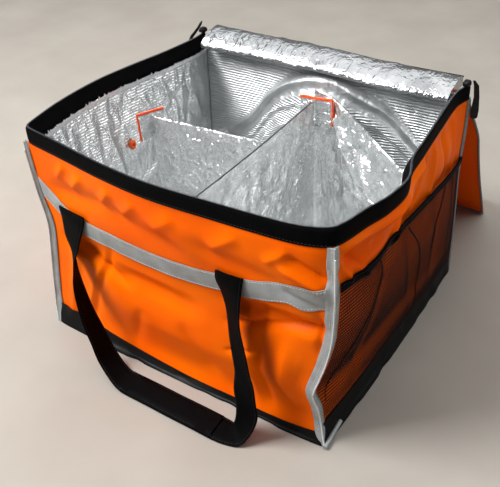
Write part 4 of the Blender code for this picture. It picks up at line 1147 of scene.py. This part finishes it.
def boardPiece(name, startAt, end, top, thick, sag, fall, bow, seed, replaced, fine, folds):
    # soft board between two upright lines: startAt(z) and end in plan; its top sags and falls,
    # and fine is the size of its small wrinkles
    s, t = np.meshgrid(np.linspace(0, 1, 150), np.linspace(0, 1, 150))
    curve = np.sin(np.pi * s)
    # one bowed backwards turns sharply at its start, behind the flap
    belly = curve * t if bow > 0 else (1 - np.exp(-s / 0.06)) * (1 - s) * t ** 0.4
    bottom = floorTop + bag["layGap"]
    crest = top - sag * curve - fall * s
    z = bottom + (crest - bottom) * t
    start = startAt(z)
    way = np.array(end, float) - start
    run = np.linalg.norm(way, axis=-1, keepdims=True)
    side = np.stack([way[..., 1], -way[..., 0]], -1) / run
    x = s * run[..., 0]
    edge = np.minimum(np.minimum(x, run[..., 0] - x), np.minimum(z - bottom, crest - z))
    half = thick / 2 * (0.35 + 0.65 * np.sqrt(np.clip(edge / 0.010, 0, 1)))
    dent = divider["dent"] * crumple(x, z * 0.6, 0.045, seed) + divider["fineDent"] * crumple(x, z, fine, seed + 5)
    dent = (dent + lineFolds(folds, x, z, 0.2, top)) * np.clip(edge / 0.012, 0, 1)
    flat = start + way * s[..., None]
    layers = []
    for sign in (1, -1):
        shift = bow * belly + sign * half + dent * (1 if sign > 0 else 0.6)
        layers.append(np.concatenate([flat + side * shift[..., None], z[..., None]], -1))
    piece = gridPiece(name, layers[0], layers[1], foilSmoothPaintedLight, replaced, 60)
    ridge = (layers[0][-1, 3:-3] + layers[1][-1, 3:-3]) / 2
    if name == "longDivider":    # bound along its top
        makePiping(name + "Edge", ridge + (0, 0, 0.0004), 0.0012, trim["coilNylon"])
    else:
        seams["dark"].append(ridge + (0, 0, 0.0003))


def uprightAt(place):
    return lambda z: np.broadcast_to(np.array(place), z.shape + (2,))


def frontLiningAt(z):
    # where the long divider meets the front lining
    v = z / bag["height"]
    left, right = cornerAt(0, v), cornerAt(1, v)
    u = (divider["x"] - left[..., 0]) / (right[..., 0] - left[..., 0])
    inner = wall("front", u, v, -innerFace - 0.0012, 0.25)
    return np.stack([np.full_like(z, divider["x"]), inner[..., 1]], -1)


def makeDividers():
    x, thick, crossEnd = divider["x"], divider["thick"], divider["crossEnd"]
    boardPiece("longDivider", frontLiningAt, (x, divider["back"]), divider["top"], thick, 0.004, 0.0, 0.0, 201,
               ["long_divider"], 0.020, strewnFolds(35, 12, 0.6, 9, 3.0))
    boardPiece("crossDivider", uprightAt((x - thick / 2 - 0.0005, divider["crossAt"])), crossEnd, divider["top"], thick,
               0.003, 0.009, 0.004, 211, ["cross_divider"], 0.009, strewnFolds(36, 6, 0.4, 8, 1.2))
    boardPiece("turnedDivider", uprightAt(divider["turnedStart"]), divider["turnedEnd"], divider["turnedTop"],
               thick * 1.4, -0.002, 0.046, -0.016, 221, ["turned_divider"], 0.024, turnedFolds)
    # end, middle in plan, way of its width, lift, tilt
    for name, middle, way, up, tilt in (
            ("back", (x + 0.003, divider["back"] + divider["flapGap"]), (1.0, 0.0), 0.006, 0.10),
            ("left", (crossEnd[0] - divider["flapGap"], crossEnd[1]), (0.0, -1.0), -0.001, 0.20)):
        makeFlap(name, np.array(middle), np.array(way), up, tilt)


flap = {"half": 0.0275, "tall": 0.045, "edging": 0.0032, "curl": 0.0014, "crush": 0.0006}


def makeFlap(name, middle, way, up, tilt):
    # flap across a divider's end, edged with orange ribbon on its top and outer upright side
    side = np.array([way[1], -way[0]])
    half, tape = flap["half"], trim["orangeTape"]
    for label, fromA, toA, fromZ, toZ, thick, skin, slotName, node in (
            ("Flap", -half, half, -flap["tall"], -0.0033, 0.0020, foilWall, "aluminised_foil", "_tab"),
            ("FlapTopEdging", -half - 0.0005, half, -0.0036, 0.0, flap["edging"], tape, "orange_edging",
             "_tab_top_edging"),
            ("FlapSideEdging", half + 0.0002, half + 0.0035, -flap["tall"], 0.0, flap["edging"], tape, "orange_edging",
             "_tab_side_edging")):
        a, z = np.meshgrid(np.linspace(fromA, toA, 40), np.linspace(fromZ, toZ, 30))
        curl = flap["curl"] * np.sin(a / half * 1.3 + z / 0.03) + flap["crush"] * crumple(a, z, 0.012, 231)
        rounded = np.clip(np.minimum(a - fromA, toA - a) / 0.0012, 0, 1)
        layers = []
        for sign in (1, -1):
            shift = sign * thick / 2 * (0.5 + 0.5 * rounded) + curl
            flat = middle + way * a[..., None] + side * shift[..., None]
            layers.append(np.concatenate([flat, (divider["top"] + up + tilt * a + z)[..., None]], -1))
        gridPiece(name + label, layers[0], layers[1], skin, [name + node], 60)


# outline of the button: out from its middle and off the lining, in mm
buttonOutline = [(7.6, 0.0), (7.9, 1.2), (7.6, 2.6), (6.6, 3.9), (5.3, 4.6), (4.2, 4.3), (3.3, 3.4), (3.0, 2.0),
                 (3.0, 0.0)]


def makeButton():
    # round moulded button with an open middle, on the left lining
    along, level = 0.52, 0.645
    face = liningFace("left", np.array([[along]]), np.array([[level]]))[0, 0]
    out, up = -outwardOf("left", level), np.array((0, 0, 1.0))
    flat = np.cross(up, out)
    rings = []
    for angle in np.linspace(0, 2 * np.pi, 48, endpoint=False):
        ray = flat * math.cos(angle) * 0.92 + up * math.sin(angle) * 1.12
        rings.append([face + ray * r / 1000 + out * (d / 1000 + 0.0003) for r, d in buttonOutline])
    sweepPiece("hookButton", np.array(rings), trim["buttonPlastic"], ["hook_button"], 60, loop=True)


makeDividers()
makeButton()
print("dividers made")

# carry handle: middle of the webbing and the way of its width, from its left end to its right end

handleRoute = [
    (-0.1745, -0.1964, 0.2235, 0.995, -0.105, 0.000), (-0.1760, -0.1964, 0.2079, 0.995, -0.105, 0.000),
    (-0.1850, -0.1975, 0.1716, 0.951, -0.309, 0.000), (-0.1810, -0.2057, 0.1505, 0.766, -0.643, 0.000),
    (-0.1731, -0.2133, 0.1389, 0.643, -0.766, 0.000), (-0.1673, -0.2205, 0.1241, 0.559, -0.829, 0.000),
    (-0.1564, -0.2282, 0.1040, 0.469, -0.883, 0.000), (-0.1399, -0.2368, 0.0772, 0.375, -0.927, 0.000),
    (-0.1216, -0.2426, 0.0512, 0.275, -0.959, 0.070), (-0.1039, -0.2480, 0.0241, 0.173, -0.979, 0.105),
    (-0.0731, -0.2571, 0.0073, 0.174, -0.984, 0.035), (-0.0526, -0.2585, 0.0026, 0.139, -0.990, 0.000),
    (-0.0150, -0.2583, 0.0026, 0.052, -0.999, 0.000), (0.0250, -0.2586, 0.0026, 0.000, -1.000, 0.000),
    (0.0649, -0.2584, 0.0026, 0.000, -1.000, 0.000), (0.0994, -0.2585, 0.0020, 0.070, -0.998, 0.000),
    (0.1172, -0.2571, 0.0020, 0.407, -0.914, 0.000), (0.1285, -0.2546, 0.0046, 0.719, -0.695, 0.000),
    (0.1348, -0.2471, 0.0181, 0.905, -0.403, 0.139), (0.1382, -0.2428, 0.0412, 0.973, -0.207, 0.105),
    (0.1364, -0.2422, 0.0700, 0.978, -0.208, 0.000), (0.1348, -0.2388, 0.0957, 0.940, -0.342, 0.000),
    (0.1278, -0.2339, 0.1142, 0.914, -0.407, 0.000), (0.1201, -0.2277, 0.1370, 0.899, -0.438, 0.000),
    (0.1083, -0.2170, 0.1706, 0.848, -0.530, 0.000), (0.1020, -0.2106, 0.1940, 0.927, -0.375, 0.000),
    (0.0998, -0.2096, 0.2181, 0.999, -0.052, 0.000), (0.1020, -0.2095, 0.2350, 0.999, 0.052, 0.000),
]
handle = {"width": 0.040, "thick": 0.0020, "grip": 0.0050, "gripFrom": 0.40, "gripTo": 0.55, "overlap": 0.004,
          "spread": 0.34, "spreadEnd": 0.05, "cup": 0.0012, "floorGap": 0.0003}


def handlePiece(name, first, last, thick, node, count):
    rows = [(k, *row) for k, row in zip(np.linspace(0, 1, len(handleRoute)), handleRoute)]
    share = np.linspace(first, last, count)
    middle = np.stack([softRead(rows, share, c) for c in (1, 2, 3)], -1)
    width = unit(np.stack([softRead(rows, share, c) for c in (4, 5, 6)], -1))
    width *= 1 + handle["spread"] * np.exp(-(share / handle["spreadEnd"]) ** 2)[:, None]
    face = unit(np.cross(unit(np.gradient(middle, axis=0)), width))
    w, h = handle["width"] / 2, thick / 2
    half = [(-w, -h * 0.4), (-w + 0.0008, -h), (-w * 0.5, -h), (0, -h * 0.94), (w * 0.5, -h), (w - 0.0008, -h),
            (w, -h * 0.4)]
    outline = half + [(a, -b) for a, b in half[::-1]]
    cup = handle["cup"] * latticeNoise(share * 30, share * 0, 251)
    rings = np.stack([middle + width * a + face * (b + (cup * (1 - (a / w) ** 2))[:, None]) for a, b in outline], 1)
    rings[..., 2] += np.maximum(0.0, handle["floorGap"] - rings[..., 2].min(1))[:, None]
    sweepPiece(name, rings, webbing, [node], 60)
    for a in (-w + 0.003, w - 0.003):
        for sign in (1, -1):
            seams["dark"].append(middle + width * a + sign * face * (h + 0.0002))


def makeHandle():
    low, high, gap = handle["gripFrom"], handle["gripTo"], handle["overlap"]
    handlePiece("handleLeft", 0.0, low, handle["thick"], "handle_left", 150)
    handlePiece("handleGrip", low - gap, high + gap, handle["grip"], "handle_grip", 90)
    handlePiece("handleRight", high, 1.0, handle["thick"], "handle_right", 170)


makeHandle()
print("handle made")

# zip sliders, their pulls and the base board stay the frame's own, with a better finish

metal = trim["sliderMetal"]
for name, material in (("zip_slider_left", metal), ("zip_slider_right", metal), ("zip_pull_left", metal),
                       ("zip_pull_right", metal), ("base_panel", baseCloth)):
    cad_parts[name].data.materials.clear()
    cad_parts[name].data.materials.append(material)

stitch = {"Pitch": 0.0044, "Length": 0.0034, "Width": 0.0006, "Height": 0.0005}
for thread, slotName in (("pale", "reflective_tape"), ("dark", "black_webbing")):
    makeRunOf(thread + "Stitches", seams[thread], {**stitch, "Material": trim[thread + "Thread"]})
print("stitches made")

# stage, light and camera

# pale matt tile, only just uneven
floorMaterial = makePlain("paleFloor", "9A938A", "A39D94", 0.7, 6.0)
stage = {"half": 6, "under": 0.0004, "sky": "E8EBEE", "skyStrength": 0.15}
# place, aim, size, power
lamps = {
    "key": ((-1.3, -1.0, 2.1), (0.0, 0.0, 0.2), 1.2, 108.0),
    "top": ((-0.1, 0.6, 2.3), (0.0, 0.0, 0.1), 3.0, 50.0),
    "rightFill": ((2.0, 0.9, 1.7), (0.1, 0.0, 0.2), 1.5, 14.0),
}
# the photograph's own view, solved from the floor's joints
view = {"place": (0.5278, -0.7634, 0.8049), "right": (0.8345, 0.5492, -0.0456), "down": (0.3006, -0.5230, -0.7976),
        "ahead": (-0.4618, 0.6518, -0.6015), "sensor": 36.0, "lens": 54.15}


def makeStage():
    reach = stage["half"]
    mesh = bpy.data.meshes.new("floor")
    mesh.from_pydata([(x * reach, y * reach, -stage["under"]) for x, y in ((-1, -1), (1, -1), (1, 1), (-1, 1))], [],
                     [(0, 1, 2, 3)])
    mesh.materials.append(floorMaterial)
    addObject("floor", mesh)
    world = bpy.data.worlds.new("studio")
    world.use_nodes = True
    sky = world.node_tree.nodes["Background"].inputs
    sky["Color"].default_value, sky["Strength"].default_value = toLinear(stage["sky"]), stage["skyStrength"]
    scene.world = world
    for name, (place, aim, size, power) in lamps.items():
        lamp = bpy.data.lights.new(name, "AREA")
        lamp.shape, lamp.size, lamp.energy = "SQUARE", size, power
        light = addObject(name, lamp)
        light.location = place
        light.rotation_euler = (Vector(aim) - Vector(place)).to_track_quat("-Z", "Y").to_euler()


def makeCamera():
    lens = bpy.data.cameras.new("camera")
    lens.sensor_width, lens.lens = view["sensor"], view["lens"]
    camera = addObject("camera", lens)
    turn = Matrix([view["right"], [-x for x in view["down"]], [-x for x in view["ahead"]]]).transposed()
    camera.matrix_world = Matrix.Translation(view["place"]) @ turn.to_4x4()
    scene.camera = camera


makeStage()
makeCamera()
scene.view_settings.view_transform = "Standard"
print("stage, light and camera made")
